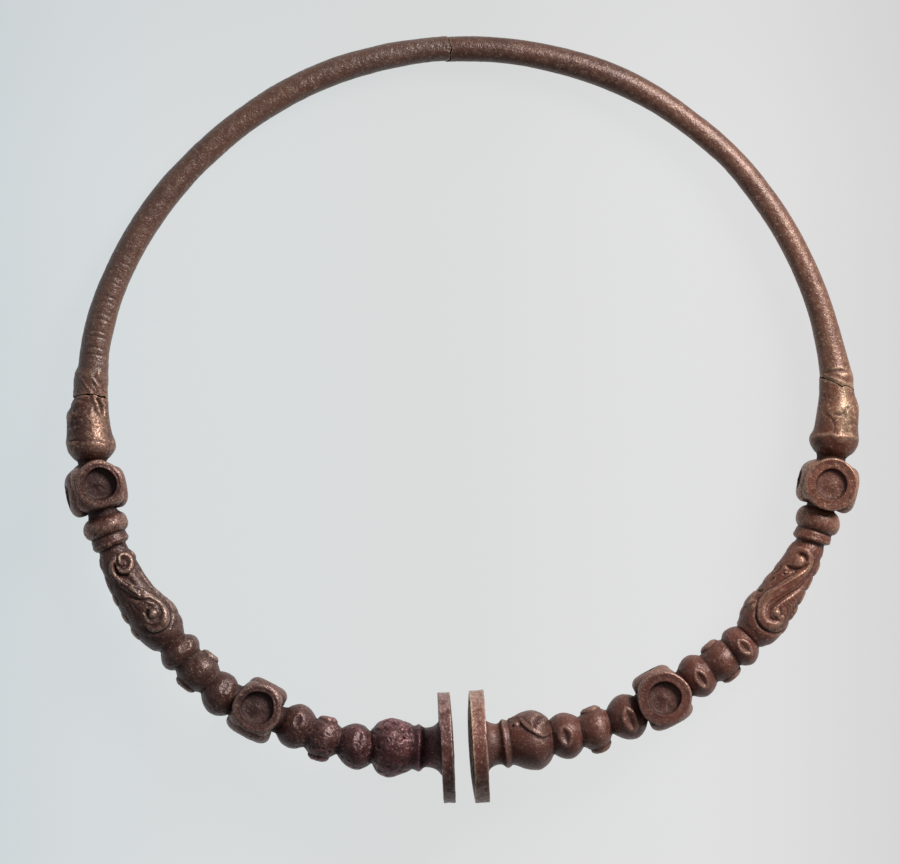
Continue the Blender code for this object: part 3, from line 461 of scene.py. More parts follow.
# How much painted shade darkens a buffer's rim outwards, on its side away from the key light, between which
# two places out, and up to where along the ring.
RIM_SHADE = 0.55
RIM_SHADE_OUT = (0.5, 8.0)
RIM_SHADE_END = 5.2

# The paired cuts on the left hoop: their places, half width, and depth, which falls by a share each.
HOOP_CUTS = (119.1, 120.4, 122.5, 123.5, 125.8, 126.9, 129.2, 130.3, 133.0, 134.1, 137.2, 138.6)
CUT_WIDTH = 0.18
CUT_DEPTH = 0.15
CUT_FALL = 0.05

# How fine each stretch's rows are, how full the collar's bead is, and how many spots go round.
FINENESS = {
    "neck": 0.3, "ring": 0.2, "baluster": 0.165, "bulb": 0.175, "eye_1": 0.16, "eye_2": 0.16, "eye_3": 0.16,
    "eye_4": 0.16, "block_1": 0.55, "block_2": 0.55, "collar": 0.15, "hoop": 0.2, "other": 0.27,
}
BEAD_POWERS = {"collar_bead": 1.3}
END_ROUND = 124
HOOP_ROUND = 96
CUP_ROUND = 44
# How much closer together these spots are in front than behind.
CROWDING = 0.45
# Steps of the level that make a spot hollow or worn, and the bend that makes an edge sharp.
HOLLOW_STEP = (0.02, 0.42)
WORN_STEP = (0.22, 0.78)
SHARP_BEND = math.radians(55)


# The ring's line.


def ring_radius(angle):
    """Distance of the ring's line from its centre: its mean plus c cos(k a) + s sin(k a) for each wave."""
    radius = RING_RADIUS
    for crests, cosine, sine in RING_WAVES:
        radius = radius + cosine * np.cos(crests * angle) + sine * np.sin(crests * angle)
    return radius


def ring_place(angle):
    """The line's point at an angle a from the gap: (r sin a, -r cos a)."""
    radius = ring_radius(angle)
    return radius * np.sin(angle), -radius * np.cos(angle)


ANGLES = np.linspace(-1.2 * math.pi, 1.2 * math.pi, 3001)
PLACES = ring_place(ANGLES)
HEADINGS = np.unwrap(np.arctan2(np.gradient(PLACES[1]), np.gradient(PLACES[0])))
HEADINGS -= 2 * math.pi * round(float(np.interp(0, ANGLES, HEADINGS)) / (2 * math.pi))
RUN = np.concatenate(([0.0], np.cumsum(np.hypot(np.diff(PLACES[0]), np.diff(PLACES[1])))))
RUN -= np.interp(0, ANGLES, RUN)


def smooth(value, low, high):
    """A smooth step from 0 at low to 1 at high: 3t^2 - 2t^3."""
    part = np.clip((value - low) / (high - low), 0, 1)
    return part * part * (3 - 2 * part)


def stretch(along, start, full, fading, gone):
    """1 along a stretch, eased from 0 before it and back to 0 after it."""
    return smooth(along, start, full) * (1 - smooth(along, fading, gone))


def wrapped(angle):
    """An angle brought between -pi and pi."""
    return (angle + math.pi) % (2 * math.pi) - math.pi


def hoop_break(side):
    """Where the hoop breaks, measured along the ring from the gap on this side."""
    angle = -(math.pi - HOOP_BREAK_OFFSET / float(ring_radius(math.pi)))
    if side == RIGHT:
        angle += 2 * math.pi
    return side * float(np.interp(angle, ANGLES, RUN))


def bend(points, side):
    """Carry straight points round the ring: the line's point at X, moved Y along its outward normal.
    Up to the bulb the normal eases from the buffers' common heading to the line's own."""
    along = side * points[..., 0]
    angle = np.interp(along, RUN, ANGLES)
    turned = smooth(points[..., 0], *STRAIGHT_TO[side])
    heading = BUFFER_LEAN + (np.interp(along, RUN, HEADINGS) - BUFFER_LEAN) * turned
    line_x, line_y = ring_place(angle)
    x = line_x + points[..., 1] * np.sin(heading)
    y = line_y - points[..., 1] * np.cos(heading)
    return np.stack((x, y, points[..., 2]), axis=-1)


def laid(points):
    """The ring's points laid on the floor: turned about X by the stand's angle, then moved. In metres."""
    cosine, sine = math.cos(STAND_TURN), math.sin(STAND_TURN)
    x, y, z = points[..., 0], points[..., 1], points[..., 2]
    turned = np.stack((x, y * cosine - z * sine, y * sine + z * cosine), axis=-1)
    return (turned + np.array(STAND_PLACE)) * MM


# Outlines.

# Which values of a station are places, and which are reaches.
IS_PLACE = np.array([True, False, True, False])


def in_full(stations):
    """Stations of four values each: one of three has both its places the same."""
    return [station if len(station) == 4 else (*station[:2], station[0], station[2]) for station in stations]


def curve(stations, steps):
    """A smooth curve through stations (Catmull-Rom): each stretch is the cubic whose slopes at its two
    ends are half the step between the neighbours."""
    points = np.asarray(stations, dtype=float)
    padded = np.vstack((2 * points[0] - points[1], points, 2 * points[-1] - points[-2]))
    part = np.linspace(0, 1, steps, endpoint=False)[None, :, None]
    before, start, end, after = (padded[k:len(padded) - 3 + k][:, None, :] for k in range(4))
    body = 0.5 * (
        2 * start + (end - before) * part + (2 * before - 5 * start + 4 * end - after) * part**2
        + (3 * start - before - 3 * end + after) * part**3
    )
    return np.vstack((body.reshape(-1, points.shape[1]), points[-1]))


def spread(rows, spacing):
    """The same outline with its rows an even distance apart, measured along it."""
    middle = np.column_stack(((rows[:, 0] + rows[:, 2]) / 2, (rows[:, 1] + rows[:, 3]) / 2))
    run = np.concatenate(([0.0], np.cumsum(np.hypot(*np.diff(middle, axis=0).T))))
    count = max(4, int(round(run[-1] / spacing)))
    even = np.linspace(0, run[-1], count + 1)
    return np.column_stack([np.interp(even, run, rows[:, column]) for column in range(rows.shape[1])])


def bead_rows(stations, power=2.0):
    """A bead: from seam to crest to seam, place = crest - (crest - seam) cos u and
    reach = seam + (crest - seam) sin(u)^p for u from 0 to pi. At p = 2 that is a parabola, as the
    beads' outlines are in the photograph."""
    first, crest, last = np.asarray(stations, dtype=float)
    swing = np.linspace(0, math.pi, 61)[:, None]
    seam = np.where(swing < math.pi / 2, first, last)
    place = crest - (crest - seam) * np.abs(np.cos(swing))
    reach = seam + (crest - seam) * np.sin(swing).clip(0, 1) ** power
    return np.where(IS_PLACE, place, reach)


def block_rows(stations):
    """A block: a superellipse |x/a|^4 + |r/b|^4 = 1 about its crest, left open at both ends, where a
    straight wall goes down to each seam."""
    first, crest, last = np.asarray(stations, dtype=float)
    crest = crest + np.array((0, BLOCK_SWELL, 0, BLOCK_SWELL))
    half = BLOCK_LENGTH / 2
    swing = np.linspace(BLOCK_MOUTH, math.pi - BLOCK_MOUTH, 41)[:, None]
    size = (np.abs(np.cos(swing)) ** 4 + np.abs(np.sin(swing)) ** 4) ** -0.25
    place = crest - half * np.cos(swing) * size
    reach = crest * np.sin(swing) * size
    return np.vstack((first, np.where(IS_PLACE, place, reach), last))


def filled(rows):
    """The outline with its sharp seams filled a little: each reach is the larger of its own and the
    mean of its neighbours, three times over."""
    for _ in range(3):
        for column in (1, 3):
            middle = (rows[:-2, column] + 2 * rows[1:-1, column] + rows[2:, column]) / 4
            rows[1:-1, column] = np.maximum(rows[1:-1, column], middle)
    return rows


def outline(side):
    """All rows of an end from its neck to its break, how square each row is (0 to 1) and its turn."""
    rows, square, turn = [], [], []
    end = None
    for name, kind, stations in TURNING[side]:
        stations = in_full(stations)
        if name not in OWN_START:
            stations.insert(0, end)
        end = stations[-1]
        if kind == "run":
            part = curve(stations, 12)
        else:
            part = np.array(stations, dtype=float)
        if kind == "bead":
            if name.startswith("cup"):
                part[1, 1::2] -= SIDE_CUP[1]
            part = bead_rows(part, BEAD_POWERS.get(name, 2.0))
        elif kind == "block":
            part = block_rows(part)
        part = spread(part, FINENESS.get(name, FINENESS["other"]))
        corner = np.zeros(len(part))
        roll = np.zeros(len(part))
        if kind == "block":
            corner = smooth((part[:, 1] + part[:, 3]) / 2, 3.0, 4.8)
            roll += math.radians(BLOCK_TURN[side, int(name[-1])])
        rows.append(part[1:])
        square.append(corner[1:])
        turn.append(roll[1:])
    return filled(np.vstack(rows)), np.concatenate(square), np.concatenate(turn)


def buffer_rows(side):
    """A buffer from the middle of its face to its back: a low dome, a rounded edge, a rim that is a
    little hollow, a rounded edge and a flat back. Each row is a station as in the turning."""
    face, back, middle, radius = BUFFERS[side]
    edge = BUFFER_EDGE
    reach = np.linspace(0.45, radius - edge, 15)
    dome = face - BUFFER_DOME[side] * (1 - (reach / radius) ** 2)
    arc = np.linspace(0, math.pi / 2, 5)
    rim = np.linspace(0, 1, 9)[1:-1]
    inward = np.linspace(radius - edge, BACK_REACH, 12)[1:]
    places = np.concatenate((
        dome, face + edge * (1 - np.cos(arc[1:])), face + edge + (back - face - 2 * edge) * rim,
        back - edge + edge * np.sin(arc), np.full(len(inward), back),
    ))
    radii = np.concatenate((
        reach, radius - edge + edge * np.sin(arc[1:]), radius - RIM_HOLLOW * np.sin(math.pi * rim),
        radius - edge + edge * np.cos(arc), inward,
    ))
    return np.column_stack((places, radii - middle, places, radii + middle))


# Surfaces.


def turns_round(count):
    """Angles round a piece, closer together towards the front: t - c sin t."""
    even = np.linspace(0, 2 * math.pi, count, endpoint=False) - math.pi
    return even - CROWDING * np.sin(even)


def round_form(rows, square, turn, angles):
    """A straight surface from its rows: at angle p, x = mid + slant sin p, y = c + r k sin p and
    z = r k cos p, with k = (|cos|^n + |sin|^n)^(-1/n) and n from 2, round, to 5, square."""
    middle = (rows[:, 0] + rows[:, 2])[:, None] / 2
    slant = (rows[:, 2] - rows[:, 0])[:, None] / 2
    centre = (rows[:, 3] - rows[:, 1])[:, None] / 2
    radius = (rows[:, 3] + rows[:, 1])[:, None] / 2
    power = 2 + 3 * square[:, None]
    twisted = angles[None, :] - turn[:, None]
    shape = (np.abs(np.cos(twisted)) ** power + np.abs(np.sin(twisted)) ** power) ** (-1 / power)
    reach = radius * shape
    return np.stack(
        (middle + slant * np.sin(angles), centre + reach * np.sin(angles), reach * np.cos(angles)), axis=-1
    )


def normals_of(points):
    """Unit normals of a grid closed round its second direction: the cross product of its two slopes."""
    along = np.gradient(points, axis=0)
    around = np.roll(points, -1, axis=1) - np.roll(points, 1, axis=1)
    normal = np.cross(around, along)
    length = np.linalg.norm(normal, axis=-1, keepdims=True)
    normal = normal / np.maximum(length, 1e-9)
    outward = points - points.mean(axis=1, keepdims=True)
    if (normal * outward).sum() < 0:
        normal = -normal
    return normal


def blurred(grid, along, around):
    """A grid averaged over 2n+1 rows and 2m+1 columns, twice over."""
    for _ in range(2):
        first, last = (np.repeat(row, along, axis=0) for row in (grid[:1], grid[-1:]))
        padded = np.concatenate((first, grid, last))
        grid = sum(padded[k:k + len(grid)] for k in range(2 * along + 1)) / (2 * along + 1)
        grid = sum(np.roll(grid, k, axis=1) for k in range(-around, around + 1)) / (2 * around + 1)
    return grid


def lattice_noise(points, size, seed):
    """Value noise from -1 to 1: random corners of cubes of this size, eased together by 3t^2 - 2t^3."""
    table = np.random.default_rng(seed).uniform(-1, 1, (64, 64, 64))
    place = points / size
    cell = np.floor(place).astype(int)
    part = place - cell
    part = part * part * (3 - 2 * part)
    total = 0.0
    for corner in range(8):
        step = np.array([corner & 1, corner >> 1 & 1, corner >> 2 & 1])
        index = (cell + step) % 64
        weight = np.where(step == 1, part, 1 - part).prod(axis=-1)
        total = total + weight * table[index[..., 0], index[..., 1], index[..., 2]]
    return total


def pits(points, size, share, seed):
    """Small round pits, 0 to 1: one point at random in each cube, with a share of them live, each
    sinking as (1 - (d / r)^2)^2 within its own radius."""
    table = np.random.default_rng(seed).uniform(0, 1, (32, 32, 32, 5))
    place = points / size
    cell = np.floor(place).astype(int)
    depth = np.zeros(points.shape[:-1])
    for corner in range(27):
        step = np.array([corner % 3, corner // 3 % 3, corner // 9]) - 1
        spot = table[tuple(((cell + step) % 32)[..., axis] for axis in range(3))]
        gap = np.linalg.norm(cell + step + spot[..., :3] - place, axis=-1)
        radius = 0.25 + 0.45 * spot[..., 4]
        sunk = np.clip(1 - (gap / radius) ** 2, 0, 1) ** 2 * (spot[..., 3] < share)
        depth = np.maximum(depth, sunk)
    return depth


def distance_to(path, along, across):
    """Distance of each spot from a broken line, how far down the line the nearest point lies (0 to 1),
    and on which side the spot is: the least |p - a - t (b - a)| over its stretches, with t held
    between 0 and 1, and the sign of (b - a) x (p - a) there."""
    start, way = path[:-1], np.diff(path, axis=0)
    length = np.maximum((way**2).sum(axis=1), 1e-9)
    away_x = along[..., None] - start[:, 0]
    away_y = across[..., None] - start[:, 1]
    part = np.clip((away_x * way[:, 0] + away_y * way[:, 1]) / length, 0, 1)
    gap = np.hypot(away_x - part * way[:, 0], away_y - part * way[:, 1])
    hand = np.sign(way[:, 0] * away_y - way[:, 1] * away_x)
    nearest = gap.argmin(axis=-1)[..., None]
    run = (np.take_along_axis(part, nearest, -1)[..., 0] + nearest[..., 0]) / len(way)
    return np.take_along_axis(gap, nearest, -1)[..., 0], run, np.take_along_axis(hand, nearest, -1)[..., 0]


def add_relief(height, along, turn, reach, kind, widths, rise, path, strength=1.0):
    """Raise or cut along a line by a function of the distance d from it and its half width w: a band by
    (1 - (d/w)^2)^0.5, a step by a smooth step across the line that fades out as exp(-(d/f)^2) beyond
    it, and all else by exp(-(d/w)^2). A hollow narrows to its two ends. Over the first and last eighth
    of its line each of them rises from about a third of its height."""
    path = np.array(path, dtype=float)
    path[:, 1] = np.radians(path[:, 1]) * reach
    if len(path) > 2:
        path = curve(path, 5)
    across = turn * reach
    widths = np.atleast_1d(widths)
    margin = 2 * STEP_FADE if kind == "step" else 3 * widths.max()
    near = (
        (along > path[:, 0].min() - margin) & (along < path[:, 0].max() + margin)
        & (across > path[:, 1].min() - margin) & (across < path[:, 1].max() + margin)
    )
    if not near.any():
        return
    gap, run, hand = distance_to(path, along[near], across[near])
    ends = np.clip(np.minimum(run, 1 - run) * 8, 0, 1)
    width = np.interp(run, np.linspace(0, 1, len(widths)), widths)
    if kind == "band":
        shape = np.clip(1 - (gap / width) ** 2, 0, 1) ** 0.5 * (0.35 + 0.65 * ends)
    elif kind == "step":
        shape = smooth(gap * hand, -width, width) * np.exp(-((gap / STEP_FADE) ** 2)) * (0.3 + 0.7 * ends)
    elif kind == "hollow":
        narrow = width * (0.35 + 0.65 * np.sin(math.pi * run) ** 0.7)
        shape = np.exp(-((gap / narrow) ** 2)) * (0.4 + 0.6 * ends)
    else:
        shape = np.exp(-((gap / width) ** 2)) * (0.4 + 0.6 * ends)
    height[near] += strength * rise * shape


def add_boss(height, along, turn, reach, place, degrees, radius, rise, strength=1.0, power=0.7):
    """A round boss or pit: rise (1 - (d/r)^2)^p within its radius."""
    gap = np.hypot(along - place, wrapped(turn - math.radians(degrees)) * reach)
    height += strength * rise * np.clip(1 - (gap / radius) ** 2, 0, 1) ** power


def add_eye(height, along, turn, reach, place, degrees, length, breadth, depth, lip):
    """An almond eye, pointed at both ends: with u and v its places along and sideways in half lengths
    and half breadths, and e = |u|^1.25 + v^2, a soft lip exp(-((e - 1.6) / 0.65)^2) round a slot that is
    deepest on its middle line and ends at e = 1.2."""
    sideways = wrapped(turn - math.radians(degrees)) * reach / breadth
    almond = np.abs((along - place) / length) ** 1.25 + sideways**2
    near = almond < 3.5
    almond = almond[near]
    height[near] += lip * np.exp(-(((almond - 1.6) / 0.65) ** 2)) - depth * (1 - smooth(almond, 0.0, 1.2))


def weathered(points, rough, pitted, seed):
    """How far age has moved each spot: noise of four sizes, less pits of two."""
    noise = sum(height * lattice_noise(points, size, seed + own) for size, height, own in AGE_NOISE)
    sunk = sum(PIT_DEPTH * pits(points, size, share, seed + own) for size, share, own in AGE_PITS)
    return rough * noise - pitted * sunk


def crumpled(age, points, share, dents, seed):
    """Age where a sleeve is crumpled by a share: that much rougher, and dented."""
    return age * (1 + ROUGHER * share) + dents * share * lattice_noise(points, DENTS, seed + 7)


def toned(points, table):
    """The tone of each spot from its place along the ring; a buffer's rim also darkens outwards, as painted
    shade on its lower side.
    """
    table = np.array(table)
    tone = np.stack([np.interp(points[..., 0], table[:, 0], table[:, k]) for k in (1, 2, 3)], axis=-1)
    # painted shade: the buffer's rim is darker towards its outer, lower side
    outwards = smooth(points[..., 1], *RIM_SHADE_OUT) * (points[..., 0] < RIM_SHADE_END)
    return tone * (1 - RIM_SHADE * outwards)[..., None]


def rubbed_bright(wear_and_highlight, points, patches):
    """More wear in round patches, which is painted highlight too, each fading as exp(-(d/r)^2) from its
    place and turn.
    """
    turn = np.arctan2(points[..., 1], points[..., 2])
    for place, degrees, radius, amount in patches:
        gap = np.hypot(points[..., 0] - place, wrapped(turn - math.radians(degrees)) * BODY_REACH)
        wear_and_highlight = wear_and_highlight + amount * np.exp(-((gap / radius) ** 2))
    return wear_and_highlight.clip(0, 1)


def shaded(points, normals):
    """How hollow and how worn each spot of a grid is: its level is 5 times its height over the grid
    blurred a little plus 1.6 times that over the grid blurred more, and each is a smooth step of it."""
    fine = ((points - blurred(points, 1, 2)) * normals).sum(axis=-1)
    broad = ((points - blurred(points, 3, 5)) * normals).sum(axis=-1)
    level = 5.0 * fine + 1.6 * broad
    return smooth(-level, *HOLLOW_STEP), smooth(level, *WORN_STEP)


def finished(points, height, age, inside=slice(0)):
    """A form with its relief and age, and how hollow and how worn each spot then is. On the rows inside
    a break, if there are any, age counts for little and all is as dark as a hollow: painted shade in the
    crack."""
    age[inside] *= AGE_INSIDE
    points = points + normals_of(points) * (height + age)[..., None]
    hollow, wear_and_highlight = shaded(points, normals_of(points))
    # painted shade: the inside of a break gets the full hollow darkening and no wear
    hollow[inside], wear_and_highlight[inside] = 1.0, 0.0
    return points, hollow, wear_and_highlight


class Shell:
    """Closed grids gathered into one mesh, with their hollow, wear and highlight, and tone values; the
    hollow and tone values carry painted shade too.
    """

    def __init__(self):
        self.points, self.faces, self.count = [], [], 0
        self.values = {"hollow": [], "wear_and_highlight": [], "tone": []}

    def add(self, straight, side, hollow, wear_and_highlight, tone):
        """A grid closed round its second direction, with a pole at each end, bent and laid down."""
        rows, columns = straight.shape[:2]
        poles = np.stack((straight[0].mean(axis=0), straight[-1].mean(axis=0)))
        points = np.vstack((straight.reshape(-1, 3), poles))
        points = laid(bend(points, side))
        index = np.arange(rows * columns).reshape(rows, columns)
        after = np.roll(index, -1, axis=1)
        quads = np.stack((index[:-1], after[:-1], after[1:], index[1:]), axis=-1).reshape(-1, 4)
        near = np.full(columns, rows * columns)
        far = near + 1
        fans = np.vstack((
            np.column_stack((near, after[0], index[0])), np.column_stack((far, index[-1], after[-1])),
        ))
        # faces look outwards where the volume within them is positive
        corners = points - points.mean(axis=0)
        halves = np.vstack((quads[:, [0, 1, 2]], quads[:, [0, 2, 3]], fans))
        volume = np.einsum(
            "ij,ij->", corners[halves[:, 0]], np.cross(corners[halves[:, 1]], corners[halves[:, 2]])
        )
        if volume < 0:
            quads, fans = quads[:, ::-1], fans[:, ::-1]
        self.points.append(points)
        self.faces += (quads + self.count).tolist() + (fans + self.count).tolist()
        for label, values in (("hollow", hollow), ("wear_and_highlight", wear_and_highlight), ("tone", tone)):
            flat = values.reshape(rows * columns, -1)
            self.values[label].append(np.vstack((flat, values[[0, -1]].mean(axis=1).reshape(2, -1))))
        self.count += len(points)

    def piece(self, name, material, node):
        """The finished piece: it rides on the ring's body and stands for its solid."""
        mesh = bpy.data.meshes.new(name)
        mesh.from_pydata(np.vstack(self.points).tolist(), [], self.faces)
        for label, values in self.values.items():
            values = np.concatenate(values).astype(np.float32)
            kind, key = ("FLOAT", "value") if values.shape[1] == 1 else ("FLOAT_VECTOR", "vector")
            mesh.attributes.new(label, kind, "POINT").data.foreach_set(key, values.ravel())
        mesh.shade_smooth()
        mesh.set_sharp_from_angle(angle=SHARP_BEND)
        mesh.materials.append(material)
        thing = bpy.data.objects.new(name, mesh)
        bpy.context.scene.collection.objects.link(thing)
        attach(thing, "root")
        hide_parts(node)


# The pieces.


def ragged(rows, points, angles, rag, gap, place_row, direction):
    """Move the surface near a break along the ring by its ragged line, its lean times z and half its
    width, fading over a few millimetres. At angle a the width is that given, times
    1 + 0.5 sin(3a + 1) sin(8a). On the rows that close the break the ragged line shrinks with them."""
    width, lean = gap
    degrees, offsets = zip(*rag)
    wave = np.interp(np.degrees(wrapped(angles)), degrees, offsets)
    middle = (rows[:, 0] + rows[:, 2]) / 2
    fade = 1 - smooth(np.abs(middle - middle[place_row]), 0.0, RAG_REACH)
    radius = (rows[:, 1] + rows[:, 3]) / 2
    beyond = direction * (place_row - np.arange(len(rows))) > 0
    share = np.where(beyond, radius / radius[place_row], 1.0)
    width = width * (1 + 0.5 * np.sin(3 * angles + 1.0) * np.sin(8 * angles))
    points[..., 0] += fade[:, None] * (
        wave * share[:, None] + lean * points[..., 2] + direction * width / 2
    )


def close_end(rows, square, turn, at_end):
    """Rows that close a broken end: a small bevel, then the last row shrunk towards its middle."""
    last = rows[-1] if at_end else rows[0]
    place, slant = (last[0] + last[2]) / 2, (last[2] - last[0]) / 2
    centre, radius = (last[3] - last[1]) / 2, (last[3] + last[1]) / 2
    share, dip = np.array(CLOSING).T
    dip = -dip if at_end else dip
    added = np.column_stack((
        place - slant * share + dip, radius * share - centre,
        place + slant * share + dip, radius * share + centre,
    ))
    flat = np.zeros(len(added))
    if at_end:
        return np.vstack((rows, added)), np.concatenate((square, flat)), np.concatenate((turn, flat))
    return np.vstack((added[::-1], rows)), np.concatenate((flat, square)), np.concatenate((flat, turn))


def add_marks(height, along, front, side):
    """All that is raised or cut on an end. What is carved in front is there behind too, turned over."""
    both = ((front, 1.0), (wrapped(math.pi - front), BEHIND))
    for kind, width, rise, path in RELIEF[side]:
        reach = BULB_REACH if path[0][0] < BULB_END else BODY_REACH
        for turn, strength in both:
            add_relief(height, along, turn, reach, kind, width, rise, path, strength)
    for boss in BOSSES[side]:
        reach = BULB_REACH if boss[0] < BULB_END else BODY_REACH
        for turn, strength in both:
            add_boss(height, along, turn, reach, *boss, strength)
    for eye in EYES[side]:
        for turn, _ in both:
            add_eye(height, along, turn, EYE_REACH, *eye)
    wider, deeper = SOCKET_ROOM
    for block in ((side, 1), (side, 2)):
        face = FACE_PLACE[block], FACE_HOLE[block], FACE_DEPTH[block]
        for degrees in (0, -180, 90, -90):
            place, hole, depth = (SIDE_PLACE[block], SIDE_HOLE, SIDE_DEPTH) if degrees % 180 else face
            socket = place, degrees + BLOCK_TURN[block], hole + wider, -depth - deeper
            add_boss(height, along, front, BLOCK_REACH, *socket, power=0.4)
    radius, rise = SIDE_CUP
    for place in CUP_EYES[side]:
        for degrees in (-90, 90):
            add_boss(height, along, front, SIDE_CUP_REACH, place, degrees, radius, rise, power=0.3)
            add_boss(height, along, front, SIDE_CUP_REACH, place, degrees, radius / 2, -rise / 2, power=0.6)
    for lump in SIDE_LUMPS[side]:
        add_boss(height, along, front, BODY_REACH, *lump, power=0.45)


def end_body(side, seed):
    """The turned and carved body of an end: buffer, neck, beads, blocks, baluster, bell and sleeve."""
    neck, square, turn = outline(side)
    disc = buffer_rows(side)
    rows = np.vstack((disc, neck))
    square, turn = (np.concatenate((np.zeros(len(disc)), values)) for values in (square, turn))
    break_row = len(rows) - 1
    rows, square, turn = close_end(rows, square, turn, True)
    angles = turns_round(END_ROUND)
    points = round_form(rows, square, turn, angles)
    points[..., 0] -= side * BUFFER_TIP * points[..., 2] * (1 - smooth(points[..., 0], *TIP_FADE))
    ragged(rows, points, angles, SLEEVE_RAG[side], SLEEVE_BREAK, break_row, -1)

    along = points[..., 0]
    height = np.zeros(along.shape)
    add_marks(height, along, np.broadcast_to(wrapped(angles), along.shape), side)
    rough, pitted = END_AGE[side]
    more, *places = MORE_PITTED[side]
    age = weathered(points, rough, pitted + more * stretch(along, *places), seed)
    start, full, dents = END_CRUMPLED
    age = crumpled(age, points, smooth(along, start, full), dents, seed)
    if side == LEFT:
        crumbs, *places = CRUMBLED
        age += crumbs * stretch(along, *places) * lattice_noise(points, CRUMBS, seed + 9)
    points, hollow, wear_and_highlight = finished(points, height, age, slice(break_row + 1, None))
    # bare metal and painted highlights on the listed patches
    return points, hollow, rubbed_bright(wear_and_highlight, points, RUBBED_AND_HIGHLIT_PATCHES[side])


def cup(place, top, rim, hole, rounding, depth, turn_degrees, middle, lobes, seed):
    """A cup of a block, as a closed turned form about its own axis: an outer wall from within the
    block, an edge rounded as a quarter of an ellipse, a rim, a hole and a floor with a small boss. At
    angle q its radius is r (1 + l cos(3q + s) + 0.6 l cos(5q + 2s)), with l its lobes and s its seed,
    and it stands at its turn about the ring's line. Also how deep each spot lies, in the hole or down
    the outer wall (0 to 1)."""
    arc = np.linspace(0, math.pi / 2, 7)
    inward, downward = rounding
    flat = np.linspace(rim - inward, hole + CUP_LIP, 6)[1:-1]
    if rim - inward <= hole + CUP_LIP + 0.3:
        flat = np.full(len(flat), hole + CUP_LIP + 0.05)
    bottom = top - depth
    radii, heights = (np.concatenate(values) for values in zip(
        # closed within the block, then up the outer wall
        (np.linspace(0.4, rim - 0.25, 3), np.full(3, 2.6)),
        (np.linspace(rim - 0.05, rim, 3), np.linspace(2.9, top - downward - 0.1, 3)),
        # over the rounded edge, along the rim and over the lip
        (rim - inward + inward * np.cos(arc), top - downward + downward * np.sin(arc)),
        (flat, top - 0.03 * np.array((0.5, 1, 1, 0.5))),
        (hole + CUP_LIP - CUP_LIP * np.sin(arc[:-1]), top - CUP_LIP + CUP_LIP * np.cos(arc[:-1])),
        # down the hole, round its foot, over its floor and up the boss
        (hole - np.array((0, 0.08, 0.16)), np.linspace(top - CUP_LIP - 0.15, bottom + 0.2, 3)),
        (hole - 0.16 - 0.24 * np.sin(arc[1:]), bottom + 0.20 * (1 - np.sin(arc[1:]))),
        (np.linspace(hole - 0.40, 1.15, 7)[1:], bottom - 0.05 * np.sin(np.linspace(0, math.pi, 7)[1:])),
        (
            np.array((0.95, 0.75, 0.55, 0.4, 0.25, 0.12)),
            bottom + min(1, depth) * np.array((0.05, 0.08, 0.10, 0.14, 0.19, 0.21)),
        ),
    ))
    angles = np.linspace(0, 2 * math.pi, CUP_ROUND, endpoint=False)
    wavy = 1 + lobes * np.cos(3 * angles + seed) + 0.6 * lobes * np.cos(5 * angles + 2 * seed)
    reach = radii[:, None] * wavy[None, :]
    x = place + reach * np.cos(angles)
    across = reach * np.sin(angles)
    height = np.broadcast_to(heights[:, None], reach.shape)
    turn = math.radians(turn_degrees)
    y = middle + height * math.sin(turn) + across * math.cos(turn)
    z = height * math.cos(turn) - across * math.sin(turn)
    # rows past the rounded edge, which has as many of them as the arc
    within = np.arange(len(radii)) > radii.argmax() + len(arc)
    sunk = np.where(within, smooth(top - heights, 0.15, 0.7), 0.8 * smooth(top - heights, 0.9, 2.2))
    return np.stack((x, y, z), axis=-1), np.repeat(sunk[:, None], len(angles), axis=1)


def add_cups(shell, side, seed):
    """Both blocks' cups: a large flat-rimmed one in front and behind, a rounder one at each side."""
    for number in (1, 2):
        block = side, number
        for count, degrees in enumerate((0, 90, 180, 270)):
            if degrees % 180 == 0:
                size = FACE_TOP, FACE_RIM[block], FACE_HOLE[block], FACE_ROUNDING[side], FACE_DEPTH[block]
                place, middle = FACE_PLACE[block], FACE_MIDDLE[block]
            else:
                size = SIDE_TOPS[block][degrees > 180], SIDE_RIM, SIDE_HOLE, SIDE_ROUNDING, SIDE_DEPTH
                place, middle = SIDE_PLACE[block], BLOCK_MIDDLE[block]
            turned = degrees + BLOCK_TURN[block]
            straight, sunk = cup(place, *size, turned, middle, CUP_LOBES[side], seed + count + number)
            age = weathered(straight, *CUP_AGE[side], seed + 50)
            straight, hollow, wear_and_highlight = finished(straight, 0.0, age)
            # painted shade: the hole, and the outer wall where it goes down into the block, darkened by how
            # deep they lie
            hollow = np.maximum(hollow, HOLE_PAINTED_SHADE[block] * sunk)
            wear_and_highlight *= (1 - 0.6 * sunk) * CUP_WORN[side]
            shell.add(straight, side, hollow, wear_and_highlight, toned(straight, TONES[side]))


def decorated_end(side, name, node, finish, seed):
    """A decorated end: its turned body and its blocks' cups, in one mesh."""
    shell = Shell()
    straight, hollow, wear_and_highlight = end_body(side, seed)
    shell.add(straight, side, hollow, wear_and_highlight, toned(straight, TONES[side]))
    add_cups(shell, side, seed)
    shell.piece(name, patina(finish), node)


def hoop_cuts():
    """The paired cuts as marks, each a little shallower than the one before it."""
    for number, place in enumerate(HOOP_CUTS):
        path = ((place, -38), (place + 0.2, -15), (place + 0.2, 12), (place, 37))
        yield "groove", CUT_WIDTH, -CUT_DEPTH * (1 - CUT_FALL * number), path


